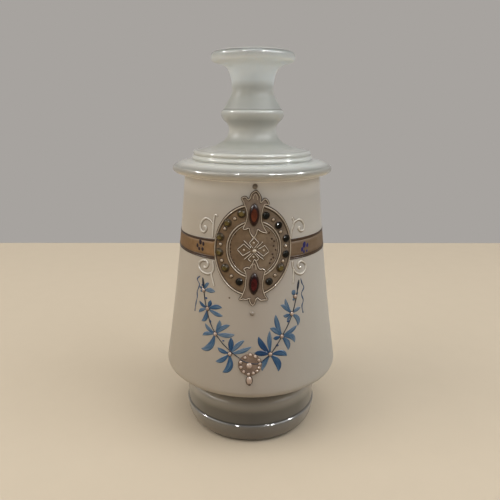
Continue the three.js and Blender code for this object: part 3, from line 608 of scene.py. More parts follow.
def foot_glass():
    look = Look("opaline_foot", 0.45, coat=1.0, coat_roughness=0.08)
    # The colours by height paint light and shade: a brownish painted reflection at the very bottom, darker
    # between the ridge and the top, and lighter at the top.
    base = look.heights([(0.6, (98, 84, 68)), (3.5, (134, 124, 111)), (10.5, (146, 142, 136)),
                         (12.2, (108, 104, 97)), (19, (114, 109, 100)), (22, (150, 143, 131)),
                         (26, (164, 157, 145)), (30, (154, 146, 133))])
    # The tint by side paints shade: dark in the middle, where the body above shades the foot, and light at
    # both edges, where the sides catch light.
    share = look.span(look.axis("X"), -RIDGE * MM, RIDGE * MM)
    tint = look.ramp(share, [(0.02, (0.9, 0.89, 0.84, 1)), (0.09, (0.84, 0.82, 0.76, 1)),
                             (0.16, (0.6, 0.57, 0.5, 1)), (0.5, (0.4, 0.38, 0.37, 1)),
                             (0.84, (0.56, 0.56, 0.55, 1)), (0.91, (0.84, 0.86, 0.87, 1)),
                             (0.98, (0.9, 0.91, 0.91, 1))])
    # Near the top the tint fades towards white: painted light against the shade under the body.
    shaded = look.span(look.axis("Z"), 18 * MM, 24 * MM, 0, 0.55)
    tint = look.mix(shaded, tint, (1.0, 1.0, 1.0, 1.0))
    base = look.mix(1.0, base, tint, "MULTIPLY")
    # Painted shade: a dark line along the ridge's crease and one at the bottom edge.
    base = look.rings(base, srgb(40, 38, 36), [(12.0, 0.9, 0.95), (0.3, 0.6, 0.6)])
    cloud = look.noise(26, 3, stretch=(1, 1, 0.4))
    look.finish(base, cloud, 0.25, 0.75, 0.4, 0.5)
    look.milky(0.2, 4)


def mottled(name, dark, light, roughness=0.4, scale=400, bump=0.03, coat=0.0):
    dark, light = srgb(*dark), srgb(*light)
    look = Look(name, roughness, coat=coat)
    patch = look.noise(scale, 5, 0.65)
    broad = look.noise(scale * 0.16, 3, 0.6)
    base = look.ramp(patch, [(0.28, dark), (0.72, light)])
    base = look.mix(look.span(broad, 0.35, 0.7, 0, 0.45), base, dark)
    look.finish(base, patch, 0.2, 0.8, roughness * 0.85, roughness * 1.15)
    look.bump(patch, bump)


def two_sided(name, left, right, dark, reach, roughness=0.55, scale=180):
    """Enamel that is warmer on the left than on the right, with darker mottling. The shift from left to right
    is painted light: warm from the left, cool from the right.
    """
    look = Look(name, roughness, specular=0.12)
    base = look.ramp(look.span(look.axis("X"), -reach * MM, reach * MM),
                     [(0.2, srgb(*left)), (0.8, srgb(*right))])
    patch = look.noise(scale, 5, 0.65)
    broad = look.noise(scale * 0.2, 3, 0.6)
    base = look.mix(look.span(patch, 0.36, 0.66, 0.5, 0), base, srgb(*dark))
    base = look.mix(look.span(broad, 0.42, 0.66, 0, 0.4), base, srgb(*dark))
    look.finish(base, patch, 0.2, 0.8, roughness * 0.85, roughness * 1.1)
    look.bump(patch, 0.06)


def petal_paint():
    look = Look("petal_paint", 0.4, specular=0.25, coat=0.05, coat_roughness=0.2)
    tone, along, across = (look.attribute(n) for n in ("tone", "along", "across"))
    rates = enumerate(((across, 2.2), (along, 1.1), (tone, 37.0)))
    stroke = look.node("CombineXYZ", {i: look.math("MULTIPLY", value, rate) for i, (value, rate) in rates})
    streak = look.noise(1.6, 3, 0.6, place=stroke.outputs[0])
    edge = look.math("POWER", look.math("ABSOLUTE", across), 2.5)
    deep = look.math("ADD", tone, look.math("MULTIPLY", edge, 0.22))
    deep = look.math("ADD", deep, look.span(streak, 0.3, 0.7, -0.34, 0.3))
    deep = look.math("ADD", deep, look.span(along, 0.0, 1.0, 0.14, -0.08))
    base = look.ramp(deep, [(0.0, srgb(116, 124, 130)), (0.2, srgb(88, 106, 124)), (0.45, srgb(50, 82, 110)),
                            (0.72, srgb(13, 56, 92)), (1.0, srgb(4, 36, 74))])
    look.set({"Base Color": base})
    look.bump(streak, 0.04)


def stone_look(name, dark, light, roughness=0.08, scale=500):
    look = Look(name, roughness, specular=0.14, coat=0.06, coat_roughness=0.05)
    inner = look.noise(scale, 4, 0.65)
    base = look.ramp(inner, [(0.3, srgb(*dark)), (0.7, srgb(*light))])
    look.finish(base, inner, 0.3, 0.7, roughness * 0.8, roughness * 1.6)


satin_glass()
gloss_glass()
foot_glass()
petal_paint()
two_sided("taupe_ground", (118, 95, 69), (124, 109, 91), (72, 54, 36), 24, 0.6, 260)
two_sided("band_tan", (132, 101, 66), (114, 96, 77), (86, 64, 41), 40)
mottled("cartouche_ground", (92, 76, 61), (130, 113, 97), 0.55, 260, 0.06)
mottled("rosette_ground", (92, 73, 60), (132, 111, 96), 0.55, 260, 0.06)
mottled("border_dark", (42, 26, 12), (74, 50, 26), 0.35, 320, 0.06)
# Dark brown for the lines beside raised enamel: partly outline paint, partly painted shade.
mottled("line_shade", (52, 36, 20), (78, 60, 40), 0.6, 320, 0.06)
# Pale grey-brown for the painted shadows beside the scrolls.
mottled("soft_shade", (122, 110, 94), (138, 126, 110), 0.6, 320, 0.06)
mottled("cream_enamel", (150, 135, 115), (186, 172, 154), 0.3, 360, 0.04, 0.2)
mottled("scroll_enamel", (182, 174, 162), (204, 198, 188), 0.28, 300, 0.03, 0.25)
mottled("pearl_enamel", (136, 114, 98), (178, 158, 142), 0.25, 420, 0.03, 0.3)
mottled("pearl_cream", (128, 110, 88), (170, 152, 130), 0.3, 420, 0.03, 0.25)
mottled("pearl_grey", (108, 97, 84), (134, 123, 109), 0.4, 420, 0.03, 0.15)
mottled("stem_blue", (22, 24, 30), (42, 52, 68))
mottled("ribbon_blue", (34, 54, 82), (66, 88, 116), 0.4, 300)
mottled("bud_blue", (28, 52, 88), (52, 80, 116))
mottled("blossom_left", (16, 6, 14), (36, 20, 30))
mottled("blossom_right", (14, 10, 70), (34, 32, 96))
mottled("speck_brown", (84, 68, 54), (112, 96, 80), 0.6)
# Each stone has a lighter look for its table and a darker one for its facets: painted light through the glass
# and painted shade in the facets.
stone_look("olive_table", (60, 48, 18), (108, 92, 50), 0.25)
stone_look("olive_edge", (36, 27, 8), (76, 62, 28), 0.25)
stone_look("green_table", (5, 4, 2), (20, 18, 12))
stone_look("green_edge", (6, 5, 3), (26, 26, 18))
stone_look("amber_table", (46, 14, 5), (94, 42, 17), 0.25, 320)
stone_look("amber_edge", (18, 5, 2), (46, 16, 8), 0.2, 320)
stone_look("ruby_table", (40, 2, 2), (78, 10, 7), 0.25, 320)
stone_look("ruby_edge", (16, 2, 1), (40, 8, 5), 0.2, 320)


# The vessel: glossy foot, satin body, glossy shoulder and neck.

profile, satin_from, satin_to = vessel_profile()
verts, faces, owner = lathe(profile, steps=160)
waist_step = next(i for i, (r, z) in enumerate(profile) if z > Z_FOOT_TOP + 1.2 and r < WAIST + 1)
zone = [0 if satin_from <= k < satin_to else 2 if k < waist_step else 1 for k in owner]
make("vessel_glass", (verts, faces), ["opaline_satin", "opaline_gloss", "opaline_foot"],
     ["vessel"], face_look=zone)


# The band, which ends on the medallion's rim, and its two dark borders.

BAND_LOW = -5.4
BAND_HIGH = 4.2
RIM_CENTRE = (-0.4, 0.0)
RIM_X = 19.0
RIM_Y = 21.9


def rim_x(y, side):
    """x of the outer rim's outside at height y, on one side."""
    share = (y - RIM_CENTRE[1]) / (RIM_Y + 0.4)
    return RIM_CENTRE[0] + side * (RIM_X + 0.4) * np.sqrt(1 - share ** 2)


def around(y, n):
    """x of n points round the back of the vessel, from the rim's right side to its left."""
    girth = 2 * math.pi * float(body_radius(Z_MEDALLION + y))
    return np.linspace(rim_x(y, 1), girth + rim_x(y, -1), n)


def wander(n, amount, seed):
    """Slow hand-painted change along a line."""
    r = np.random.default_rng(seed)
    t = np.linspace(0, 2 * math.pi, n)
    return amount * sum(np.sin(k * t + r.uniform(0, 6.3)) / k for k in (3, 7, 16, 31))


def droop(x):
    """How far the band's upper edge was painted lower towards the left side."""
    return 1.1 * np.clip(-np.sin(x / float(body_radius(Z_MEDALLION))), 0, 1) ** 3


def border(y, width, spread, seed, fall=0.0, n=420):
    """Brushed line round the body, broader towards the medallion."""
    near = np.abs(np.linspace(-1, 1, n)) ** 3
    x = around(y, n)
    path = np.stack([x, y + wander(n, 0.05, seed) - fall * droop(x)], 1)
    return relief(path, width + spread * near + wander(n, 0.1, seed + 1), 0.16, 0.05, sides=6)


rows = np.linspace(BAND_LOW + 0.4, BAND_HIGH - 0.4, 5)
xs = np.stack([around(y, 220) for y in rows], 1)
ys = rows - droop(xs) * (rows - rows[0]) / (rows[-1] - rows[0])
make("band_paint", sheet(xs, ys, 0.12), "band_tan", ["band"])
make("band_border_upper_line", border(BAND_HIGH - 0.5, 1.0, 0.6, 3, 1.0), "border_dark",
     ["band_border_upper"])
lower = Bag(border(BAND_LOW + 0.75, 0.9, 0.3, 5), border(BAND_LOW - 0.1, 0.45, 0.4, 8))
lower.make("band_border_lower_lines", "border_dark", "dark_border", ["band_border_lower"])

# Each dot of a blossom: x, y and size.
BLOSSOMS = {
    "blossom_left": [(-28.9, 1.6, 1.1), (-26.8, 1, 0.85), (-31, -0.5, 0.85), (-29.7, -1.9, 0.8),
                     (-27.3, -1.7, 0.85)],
    "blossom_right": [(27.9, 0.4, 1.25), (30.3, -0.2, 0.9), (26.5, -1.7, 0.95), (27.8, -3, 0.7),
                      (30, -3, 0.6)],
}
for name, dots in BLOSSOMS.items():
    Bag(*[bead(x, y, r * 0.95, r * 1.25, 0.14, 0.1, 14) for x, y, r in dots]).make(name, name, "blue_enamel")


# The medallion's ground, its cartouches and the raised lines.

oval = ellipse(*RIM_CENTRE, RIM_X, RIM_Y, 120)
make("medallion_plate", plate(oval, RIM_CENTRE, lift=0, height=GROUND_TOP, rings=12), "taupe_ground",
     ["medallion_ground"])

shade = Bag()
shades = iter(np.arange(0.004, 1, 0.004))


def underline(path, width, lift=GROUND_TOP, closed=False):
    """Thin dark edge beside a raised line: partly brown outline paint, partly painted shade of the line. Each
    lies a little over the last.
    """
    shade.put(relief(path, width, 0.03, lift + next(shades), closed, 5))


UPPER = [
    (0.1, 28.4), (-1.7, 27.1), (-2.3, 25.2), (-3.3, 24.3), (-4.6, 25.6), (-6.2, 25), (-5.4, 23.5),
    (-4.7, 21.6), (-3.9, 19.6), (-3.5, 17.2), (-3.7, 15.1), (-4.3, 12.9), (-5.3, 10.6), (-4, 10.4),
    (-2.6, 11), (-2.2, 10), (-1.9, 8.8), (-1.1, 7.4), (-0.1, 6.4), (0.7, 7.7), (1.2, 9.2), (1.5, 10.4),
    (2.7, 9.6), (4.3, 8.9), (6, 8.6), (5.1, 10), (3.9, 12.3), (3.2, 14.4), (3.1, 16.4), (3.3, 18.3),
    (3.7, 20.3), (4.5, 22.1), (6.3, 22.2), (5.7, 23.9), (4.4, 24.7), (3.3, 23.5), (2.4, 23.2), (2.5, 25.2),
    (1.8, 26.8), (0.9, 28),
]
LOWER = [
    (0.4, -4.3), (-0.3, -6), (-1.2, -7.6), (-1.7, -8.5), (-2.8, -8.1), (-4.4, -8.9), (-3.6, -10.4),
    (-3.2, -12.6), (-3.3, -14.5), (-3.5, -17.5), (-4.2, -20.2), (-5.1, -22.4), (-6.1, -24.1), (-4.3, -23.7),
    (-2.8, -23.9), (-1.3, -23.1), (-1.3, -24.2), (-0.8, -25.6), (0.3, -26.7), (1.3, -25.4), (1.6, -24),
    (2.5, -23.1), (4, -24.2), (5.7, -24.2), (7.3, -24.1), (6.1, -22.2), (5.2, -19.8), (4.8, -17.5),
    (4.8, -15.1), (5.1, -12.9), (5.4, -11.3), (5.7, -9.7), (4.5, -8.8), (3.5, -9.1), (2.5, -8.1), (1.8, -6.3),
    (1.1, -4.9),
]
UPPER_LEAF = [(-1, 24.6), (-0.7, 26.2), (0, 27.2), (0.7, 26.2), (1.1, 24.2)]
LOWER_LEAF = [(-0.7, -8.6), (-0.3, -7), (0.3, -6.3), (1.1, -7.2), (1.4, -9.3)]
for name, outline, leaf, centre in (("cartouche_upper", UPPER, UPPER_LEAF, (-0.3, 17.3)),
                                    ("cartouche_lower", LOWER, LOWER_LEAF, (0.6, -16.2))):
    edge = smooth_path(outline, 260, True)
    make(name + "_plate", plate(edge, centre, GROUND_TOP - 0.05, PLATE_TOP - GROUND_TOP, 7),
         "cartouche_ground", [name])
    make(name + "_line", relief(edge, 0.45, 0.34, PLATE_TOP - 0.12, True), "cream_enamel")
    underline(np.asarray(centre) + (edge - centre) * 0.95, 0.6, PLATE_TOP - 0.06, True)
    underline(edge, 1.15, GROUND_TOP + 0.02, True)
    make(name + "_leaf", relief(smooth_path(leaf, 30), 0.36, 0.2, PLATE_TOP - 0.06), "cream_enamel")

# The rims are broken by the cartouches into a left and a right line.
INNER_CENTRE = (0.1, 0.6)
INNER_X = 13.1
INNER_Y = 13.7
RIMS = {
    "outer_rim_left": (RIM_CENTRE, RIM_X, RIM_Y, 101, 258.5),
    "outer_rim_right": (RIM_CENTRE, RIM_X, RIM_Y, -72.5, 76.5),
    "inner_rim_left": (INNER_CENTRE, INNER_X, INNER_Y, 109, 254.5),
    "inner_rim_right": (INNER_CENTRE, INNER_X, INNER_Y, -68.5, 73),
}
for name, (centre, rx, ry, start, end) in RIMS.items():
    arc = ellipse(*centre, rx, ry, 120, start, end)
    if name.startswith("outer"):
        bag = Bag(relief(arc, 0.7, 0.5 + GROUND_TOP, 0.0))
        underline(ellipse(*centre, rx - 0.45, ry - 0.45, 120, start, end), 0.9)
        underline(ellipse(*centre, rx + 0.25, ry + 0.25, 120, start, end), 1.2, 0.03)
    else:
        thin = ellipse(*centre, rx - 1.15, ry - 1.15, 110, start + 1, end - 1)
        bag = Bag(relief(arc, 0.56, 0.4, GROUND_TOP), relief(thin, 0.28, 0.18, GROUND_TOP))
        underline(thin, 0.75)
        underline(arc, 1.25)
    bag.make(name + "_line", "cream_enamel", "cream_enamel", [name])

CROSS = [
    [(-7.9, 0.4), (-4.8, 3.2), (-1.7, 0.5)], [(-7.9, 0.4), (-5.1, -2.5), (-1.6, -0.3)],
    [(7.4, -0.5), (5.2, 2.5), (1.9, 0.6)], [(7.4, -0.5), (4.7, -2.7), (1.6, -0.3)],
    [(-0.1, 1), (-2.2, 3.7), (0, 6.4)], [(0.1, 1), (2.3, 3.9), (-0.1, 6.4)],
    [(-0.1, -1.2), (-2.6, -4.1), (-1, -5.4)], [(0.3, -1.2), (2.6, -3.8), (1.2, -5.2)],
    [(-4.9, 5), (-1.2, 1.3)], [(4.2, 4.3), (1.2, 1.2)],
    [(-4.5, -4.3), (-1.1, -1.2)], [(5, -4.5), (1.1, -1.2)],
    [(-0.1, 6.4), (1.1, 8.3), (1.5, 10.4)], [(-0.1, 6.4), (-1.7, 8.4), (-2.4, 10.8)],
]
bag = Bag()
for i, line in enumerate(CROSS):
    track = polyline(line)
    bag.put(relief(track, 0.42, 0.34, GROUND_TOP + 0.01 * i))
    underline(track, 1.0)
bag.make("cross_lines", "cream_enamel", "cream_enamel", ["medallion_cross"])
# Each bead of the cross: x, y and radius.
CROSS_BEADS = [(0.4, -0.1, 0.95), (-0.1, 3.9, 0.5), (-4.7, 0.3, 0.5), (4.8, 0.1, 0.5), (0, -3, 0.5)]
Bag(*[bead(x, y, r, r, r * 0.8, GROUND_TOP) for x, y, r in CROSS_BEADS]).make(
    "cross_beads", "cream_enamel", "pearl_enamel")

# Small dark dots that follow the inside of the inner rim.
DOTS = [
    (-9.2, 7.8), (-10.4, 6.5), (-11, 4.7), (-11.3, 2.6), (-11.4, 0.6), (-11.3, -1), (-10.9, -3.4),
    (-10.1, -4.9), (-9.3, -6.1), (7.2, 8.6), (8.6, 5.6), (9.8, 4.3), (9.6, 2.1), (10.7, 0.1), (9.2, -1.9),
    (9.7, -3.6), (8.6, -4.4), (8, -6.2),
]
Bag(*[bead(x, y, 0.5, 0.58, 0.14, GROUND_TOP, 10) for x, y in DOTS]).make(
    "field_dots", "border_dark", "dark_border")

# Stones in thin settings, and pearls between them.
ROUND = ellipse(0, 0, 1, 1, 8)
STONES = {
    "left": [(-6.2, 17.7), (-13, 13), (-16.7, 5.9), (-17, -1.6), (-13.7, -9), (-6.5, -15.3)],
    "right": [(5.3, 16.9), (11.7, 11.9), (16, 5.3), (16.1, -2.4), (13.5, -8.9), (7.9, -15.2)],
}
PEARLS = {
    "left": [(-9.4, 15.2), (-14.2, 10), (-16.4, 2.3), (-15.6, -5.6), (-10.5, -12.8)],
    "right": [(8.9, 14.7), (12.8, 8.7), (15.8, 1.5), (14.6, -5.7), (10.8, -12.4)],
}
for side, spots in STONES.items():
    for i, (x, y) in enumerate(spots):
        pale = i < 5 if side == "left" else i == 4
        radius = 1.85 if pale else 1.7
        stone, face_look = cut_stone(x, y, ROUND * radius, table=0.6, height=1.15, lift=GROUND_TOP,
                                     turn=0.7 + 1.3 * i)
        looks = ["olive_table", "olive_edge"] if pale else ["green_table", "green_edge"]
        make(f"stone_{side}_{i + 1}", stone, looks, [f"jewel_{side}_{i + 1}"],
             face_look=face_look, smooth=False)
        ring = relief(ellipse(x, y, radius + 0.1, radius + 0.1, 28), 0.4, 0.45, GROUND_TOP - 0.05, True, 6)
        make(f"setting_{side}_{i + 1}", ring, "line_shade")
for side, spots in PEARLS.items():
    for i, (x, y) in enumerate(spots):
        make(f"pearl_{side}_{i + 1}", bead(x, y, 0.78, 0.78, 0.7, GROUND_TOP), "pearl_cream",
             [f"ring_pearl_{side}_{i + 1}"])
        underline(ellipse(x, y, 0.88, 0.88, 20), 0.4, closed=True)

a = np.linspace(0, 2 * math.pi, 16, endpoint=False)
NAVETTE = np.stack([2.2 * np.sign(np.cos(a)) * np.abs(np.cos(a)) ** 1.25, 5.1 * np.sin(a)], 1)
for name, x, y, stuff in (("navette_upper", -0.3, 17.3, "amber"), ("navette_lower", 0.6, -16.0, "ruby")):
    stone, face_look = cut_stone(x, y, NAVETTE, table=0.62, height=1.3, lift=PLATE_TOP)
    make(name + "_stone", stone, [stuff + "_table", stuff + "_edge"], [name],
         face_look=face_look, smooth=False)
    underline(NAVETTE[::-1] * 1.06 + (x, y), 0.5, PLATE_TOP - 0.02, True)

for name, x, y, r in (("pearl_top", -0.3, 30.5, 1.3), ("pearl_bottom", 0.2, -31.1, 1.2)):
    make(name + "_bead", bead(x, y, r, r, 1.0, 0.0, 28), "pearl_grey", [name])
shade.make("line_shading", "line_shade", "dark_border")


# The four scrolls, each a curl and a stem, with a soft shade beside them.

SCROLLS = {
    "scroll_left_upper": (
        [(-21.2, 11.6), (-21.8, 12.6), (-23, 13.5), (-25.2, 14), (-27.5, 12.7), (-28.9, 10.3), (-28.6, 7.9),
         (-26.7, 7), (-25.1, 8.4), (-25.4, 9.7), (-26.6, 9.8)],
        [(-21.1, 4.9), (-21, 9), (-20.7, 12.9), (-20.2, 15.6), (-19.3, 16.3), (-18.6, 15.4)]),
    "scroll_right_upper": (
        [(19.9, 11.5), (20.5, 12.4), (23, 13.6), (25.4, 12.8), (27.2, 10.6), (27, 8.2), (24.9, 7.8),
         (23.5, 9.2), (24.4, 10.2)],
        [(18.8, 4.6), (19, 8.3), (20, 10.6), (20.4, 12.9), (19.2, 15)]),
    "scroll_left_lower": (
        [(-20.9, -11.9), (-21.6, -12.6), (-24, -13.5), (-27.7, -12.8), (-29.6, -10.3), (-28.3, -7.9),
         (-25, -6.9), (-23.5, -8.6), (-24.9, -10.5), (-26.4, -10)],
        [(-20.8, -6.6), (-20.3, -10.5), (-21.5, -13.2), (-20.7, -16.2), (-19.7, -19.2)]),
    "scroll_right_lower": (
        [(20.2, -6.5), (20.6, -9.3), (22.6, -12.4), (26, -13.9), (28.6, -12.5), (28.9, -9.5), (25.7, -7.3),
         (23.7, -8.5), (24.6, -10.5), (26, -10.1)],
        [(20.9, -10.6), (21.2, -13.2), (21.2, -15.6), (20.9, -18.3)]),
}
share = np.linspace(0, 1, 70)
for name, (curl, stem) in SCROLLS.items():
    curl, stem = smooth_path(curl, 70), smooth_path(stem, 70)
    bag = Bag(relief(curl, np.interp(share, [0, 0.3, 0.85, 1], [0.55, 0.9, 0.85, 1.1]),
                     np.interp(share, [0, 0.3, 1], [0.3, 0.5, 0.7]), 0.0))
    bag.put(relief(stem, np.interp(share, [0, 0.5, 1], [0.6, 0.9, 0.6]), 0.38, 0.0))
    bag.make(name + "_line", "scroll_enamel", "cream_enamel", [name])
    bag = Bag(relief(curl + (0.15, -0.2), 1.35, 0.03, 0.01, sides=5),
              relief(stem + (0.2, -0.1), 1.25, 0.03, 0.015, sides=5))
    bag.make(name + "_shade", "soft_shade", "cream_enamel")


# The garland: flowers of brushed petals on two stems, with a wavy ribbon beside each.

# Each flower: its centre, then petals as tip x, tip y, width, bend, and tone from pale to deep.
FLOWERS = {
    "left_1": ((-26, -22.2), [
        (-22.7, -18.1, 1.6, 0.1, 0.35), (-19.1, -21.9, 2.2, 0.06, 0.2), (-28.7, -20.9, 1.1, 0, 0.55),
        (-28.2, -23.2, 1.1, 0, 0.45)]),
    "left_2": ((-23.3, -31.1), [
        (-21.6, -26.6, 2, -0.05, 0.6), (-28.7, -28.3, 1.6, 0.1, 0.5), (-15.1, -29.4, 2.2, 0.08, 0.45),
        (-14.5, -33.4, 2, -0.06, 0.3), (-29, -34.4, 1.6, -0.1, 0.3), (-27, -38.2, 2.2, 0.16, 0.36)]),
    "left_3": ((-18.4, -43.2), [
        (-24.6, -39, 1.8, 0.1, 0.35), (-16.3, -35.8, 2.2, -0.08, 0.34), (-10.7, -37.7, 2, 0.08, 0.26),
        (-8.2, -42.2, 2.2, -0.05, 0.2), (-26.2, -45.6, 1.8, -0.1, 0.3), (-26.8, -52.6, 3, 0.2, 0.34)]),
    "left_4": ((-10.4, -52.2), [
        (-10.1, -43.9, 2.5, -0.03, 0.66), (-3.2, -44.8, 2.1, 0.05, 0.28), (0.3, -47.9, 2.1, -0.05, 0.24),
        (-17, -49.9, 2, 0.08, 0.45), (-18, -57.2, 2.2, 0.1, 0.36), (-14.1, -62.1, 3.1, 0.22, 0.42)]),
    "right_1": ((22.7, -24.6), [
        (20.6, -21.7, 2.2, -0.1, 0.35), (24.5, -22.8, 1.2, 0, 0.3), (21.5, -26.6, 1.3, 0, 0.35)]),
    "right_2": ((20.9, -33), [
        (17, -24.9, 1.7, 0.08, 0.24), (14.5, -27.8, 2.1, -0.08, 0.34), (26.4, -31, 1.8, 0.06, 0.24),
        (24.9, -40, 2.2, 0.22, 0.28), (16.2, -33.3, 1.6, 0.1, 0.45), (18.4, -36.2, 1.3, 0, 0.4)]),
    "right_3": ((15.7, -43.6), [
        (12, -32.4, 2.3, 0.05, 0.4), (9.3, -39, 2.3, -0.08, 0.38), (24.2, -39.7, 2.1, -0.06, 0.38),
        (23.2, -48.2, 2.5, 0.24, 0.34), (19.5, -51.3, 2.5, 0.14, 0.38), (11.2, -44.2, 1.8, 0.05, 0.55)]),
    "right_4": ((9.9, -52.1), [
        (3.7, -42.9, 2.6, 0.08, 0.72), (9.3, -40.3, 2.1, 0.03, 0.34), (2, -51.2, 2.6, -0.03, 0.8),
        (18.9, -54.2, 2.7, 0.14, 0.52), (14.4, -61.4, 3, 0.16, 0.5), (6.1, -60.3, 2.5, -0.1, 0.34)]),
}
STEMS = {
    "left": [(-26.8, -15.8), (-26, -21), (-25, -27.2), (-23.6, -32), (-21.8, -37.3), (-18.7, -42.5),
             (-14.5, -47.2), (-9.8, -51), (-5.3, -54.1)],
    "right": [(24.8, -16.5), (23.8, -22.9), (22.8, -27.8), (21.5, -32.6), (19.2, -37.8), (16.2, -43),
              (12.8, -48.3), (9.7, -52.4), (6, -55.3)],
}
RIBBONS = {
    "left": [(-28.5, -15.5), (-30.7, -17.6), (-29, -20.1), (-30.5, -23.9), (-30.4, -26.8), (-31.2, -29.9),
             (-32, -34.6)],
    "right": [(26, -16.1), (27, -18.8), (28.4, -21.3), (26.8, -24.1), (28.2, -27.6), (27.4, -30.6),
              (28.4, -34.4)],
}
for side, points in STEMS.items():
    swell = 0.42 + 0.16 * np.sin(np.linspace(0, 22, 110)) ** 2
    swell += 0.75 * np.interp(np.arange(110), [0, 4, 9, 14], [0, 1, 1, 0])
    stem = relief(smooth_path(points, 110), swell, 0.16, 0.14, sides=6)
    make(f"stem_{side}", stem, "stem_blue", [f"garland_{side}"])
    swell = 0.45 + 0.4 * np.sin(np.linspace(0, 14, 60)) ** 2
    ribbon = relief(smooth_path(RIBBONS[side], 60), swell, 0.1, 0.0, sides=6)
    make(f"ribbon_{side}_paint", ribbon, "ribbon_blue", [f"ribbon_{side}"])

for name, (centre, petals) in FLOWERS.items():
    bag = Bag()
    for i, (x, y, width, bend, tone) in enumerate(petals):
        stroke, along, across = petal(centre, (x, y), width, bend, 0.12 + 0.012 * i)
        bag.put(stroke, tone=tone, along=along, across=across)
    bag.make("flower_" + name, "petal_paint", "blue_enamel")
    make("centre_" + name, bead(*centre, 0.95, 1.0, 0.8, 0.15), "pearl_enamel",
         ["flower_centre_" + name])
    # A dark ring round the raised centre: partly outline paint, partly painted shade.
    make("centre_edge_" + name, relief(ellipse(*centre, 1.02, 1.08, 24), 0.32, 0.2, 0.1, True, 5),
         "line_shade")

# Each bud: x, y, half width and half height.
BUDS = [(-24.3, -26, 0.7, 0.5), (-21.6, -37.5, 0.6, 0.8), (-14, -46, 0.6, 0.4),
        (19.1, -36.6, 0.9, 0.5), (13.4, -48, 0.8, 0.6), (-27, -19.8, 0.5, 0.6)]
Bag(*[bead(*bud, 0.16, 0.05, 14) for bud in BUDS]).make("buds", "bud_blue", "blue_enamel")
make("speck", bead(-11.3, -23.9, 0.5, 0.45, 0.05, 0.0, 12), "speck_brown")


# The rosette and the pendant under it.

ROSETTE = (-0.2, -57)
ROSETTE_PEARLS = [
    (-0.2, -51.9), (2.3, -52.7), (4.2, -54.7), (4.7, -56.6), (4.4, -58.5), (3.4, -60.2), (1.6, -61.2),
    (-0.8, -61.8), (-3.1, -60.6), (-4.6, -58.4), (-4.8, -55.9), (-2.7, -53.4),
]
CROSSING = [(-5.3, -54.1), (-3, -55.4), (-0.8, -56), (1.2, -56.4), (3, -56.5), (4.8, -56),
            (6, -55.3)]
PENDANT = (-0.3, -65.2)
make("rosette_plate", plate(ellipse(*ROSETTE, 5.9, 5.7, 64), ROSETTE, 0.0, 0.4, 5), "rosette_ground",
     ["rosette"])
Bag(*[bead(x, y, 0.85, 0.85, 0.65, 0.38) for x, y in ROSETTE_PEARLS]).make(
    "rosette_pearls", "pearl_enamel", "pearl_enamel")
# Dark rings round the raised pearls: partly outline paint, partly painted shade.
Bag(*[relief(ellipse(x, y, 0.94, 0.94, 18), 0.26, 0.06, 0.38 + 0.004 * i, True, 5)
      for i, (x, y) in enumerate(ROSETTE_PEARLS)]).make("rosette_pearl_edges", "line_shade", "dark_border")
make("rosette_middle", bead(-0.5, -57.4, 1.5, 1.45, 1.3, 0.38, 28), "pearl_enamel",
     ["rosette_centre_pearl"])
make("rosette_stem", relief(smooth_path(CROSSING, 40), 0.45, 0.2, 0.44, sides=6), "stem_blue")
make("pendant_bead", bead(*PENDANT, 1.45, 2.2, 1.5, 0.0, 28), "pearl_enamel",
     ["pendant_drop"])
# A dark ring round the raised drop: partly outline paint, partly painted shade.
make("pendant_edge", relief(ellipse(*PENDANT, 1.6, 2.35, 40), 0.35, 0.1, 0.0, True, 5), "line_shade")
make("pendant_tip", bead(-0.1, -66.8, 0.75, 0.6, 0.5, 0.95, 16), "border_dark")


# Floor, light and camera.

FLOOR_COLOUR = srgb(186, 172, 151)
FLOOR_BACK = 0.39
FLOOR_REACH = 2.5
look = Look("floor_pale", 0.8)
darker = tuple(v * 0.985 for v in FLOOR_COLOUR[:3]) + (1.0,)
look.set({"Base Color": look.ramp(look.noise(60, 2), [(0.3, darker), (0.7, FLOOR_COLOUR)])})
floor_mesh = bpy.data.meshes.new("floor")
floor_mesh.from_pydata([(-FLOOR_REACH, -FLOOR_REACH, 0), (FLOOR_REACH, -FLOOR_REACH, 0),
                        (FLOOR_REACH, FLOOR_BACK, 0), (-FLOOR_REACH, FLOOR_BACK, 0)], [], [(0, 1, 2, 3)])
floor_mesh.materials.append(LOOKS["floor_pale"])
floor = add_object("floor", floor_mesh)

LAMP_DISTANCE = 1.5
LAMP_TARGET = Vector((0, 0, 0.1))


def lamp(name, azimuth, elevation, size, power, colour):
    """Round area lamp at an azimuth from the front to the right and an elevation, aimed at the vase."""
    data = bpy.data.lights.new(name, "AREA")
    data.shape = "DISK"
    data.size = size
    data.energy = power
    data.color = colour
    a, e = math.radians(azimuth), math.radians(elevation)
    away = Vector((math.cos(e) * math.sin(a), -math.cos(e) * math.cos(a), math.sin(e)))
    obj = add_object(name, data)
    obj.location = LAMP_TARGET + away * LAMP_DISTANCE
    obj.rotation_euler = away.to_track_quat("Z", "Y").to_euler()
    return obj


WHITE = (1.0, 1.0, 1.0)
lamp("soft_left", -72, 40, 1.1, 9.2, (1.0, 0.96, 0.9))
lamp("soft_right", 66, 45, 1.1, 8.7, (0.94, 0.97, 1.0))
lamp("soft_top", 0, 80, 1.2, 10.5, WHITE)
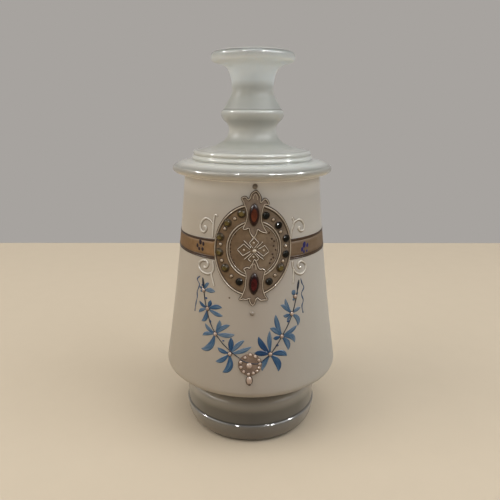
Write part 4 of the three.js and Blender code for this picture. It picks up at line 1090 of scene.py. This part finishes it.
# Small lamps that only glint in polished surfaces.
GLINTS = [(-93, 34, 0.17, 24), (-28, 48, 0.14, 13), (32, 48, 0.14, 15), (46, 48, 0.14, 13),
          (80, 38, 0.17, 28)]
for i, (azimuth, elevation, size, power) in enumerate(GLINTS):
    lamp(f"glint_{i}", azimuth, elevation, size, power, WHITE).visible_diffuse = False

# The world lights the vase evenly, and what a ray sees of it is the plain wall.
AMBIENT_COLOUR = (1.0, 0.99, 0.97, 1)
AMBIENT_STRENGTH = 0.5
WALL_COLOUR = srgb(167, 163, 159)
world = bpy.data.worlds.new("studio")
bpy.context.scene.world = world
world.use_nodes = True
sky = Nodes(world.node_tree)
sky.tree.nodes.clear()
ray = sky.node("LightPath").outputs
seen = sky.math("MAXIMUM", ray["Is Camera Ray"], ray["Is Glossy Ray"])
seen = sky.math("MAXIMUM", seen, ray["Is Transmission Ray"])
ambient = sky.node("Background", {"Color": AMBIENT_COLOUR, "Strength": AMBIENT_STRENGTH})
backdrop = sky.node("Background", {"Color": WALL_COLOUR, "Strength": 1.0})
mixed = sky.node("MixShader", {0: seen, 1: ambient.outputs[0], 2: backdrop.outputs[0]})
sky.node("OutputWorld", {"Surface": mixed.outputs[0]})

# The camera's place is in metres, its lens in millimetres and its angles in degrees.
CAMERA_PLACE = (-0.00714, -0.2704, 0.1756)
CAMERA_LENS = 35.96
CAMERA_DOWN = 15.69
CAMERA_TURN = -1.33
CAMERA_ROLL = 0.37
camera_data = bpy.data.cameras.new("camera")
camera_data.sensor_width = 36
camera_data.lens = CAMERA_LENS
camera_data.clip_start = 0.01
camera = add_object("camera", camera_data)
aim = Euler((math.radians(90 - CAMERA_DOWN), 0, math.radians(CAMERA_TURN))).to_matrix().to_4x4()
roll = Matrix.Rotation(math.radians(CAMERA_ROLL), 4, "Z")
camera.matrix_world = Matrix.Translation(CAMERA_PLACE) @ aim @ roll
bpy.context.scene.camera = camera

bpy.context.scene.view_settings.view_transform = "Standard"
bpy.context.view_layer.update()
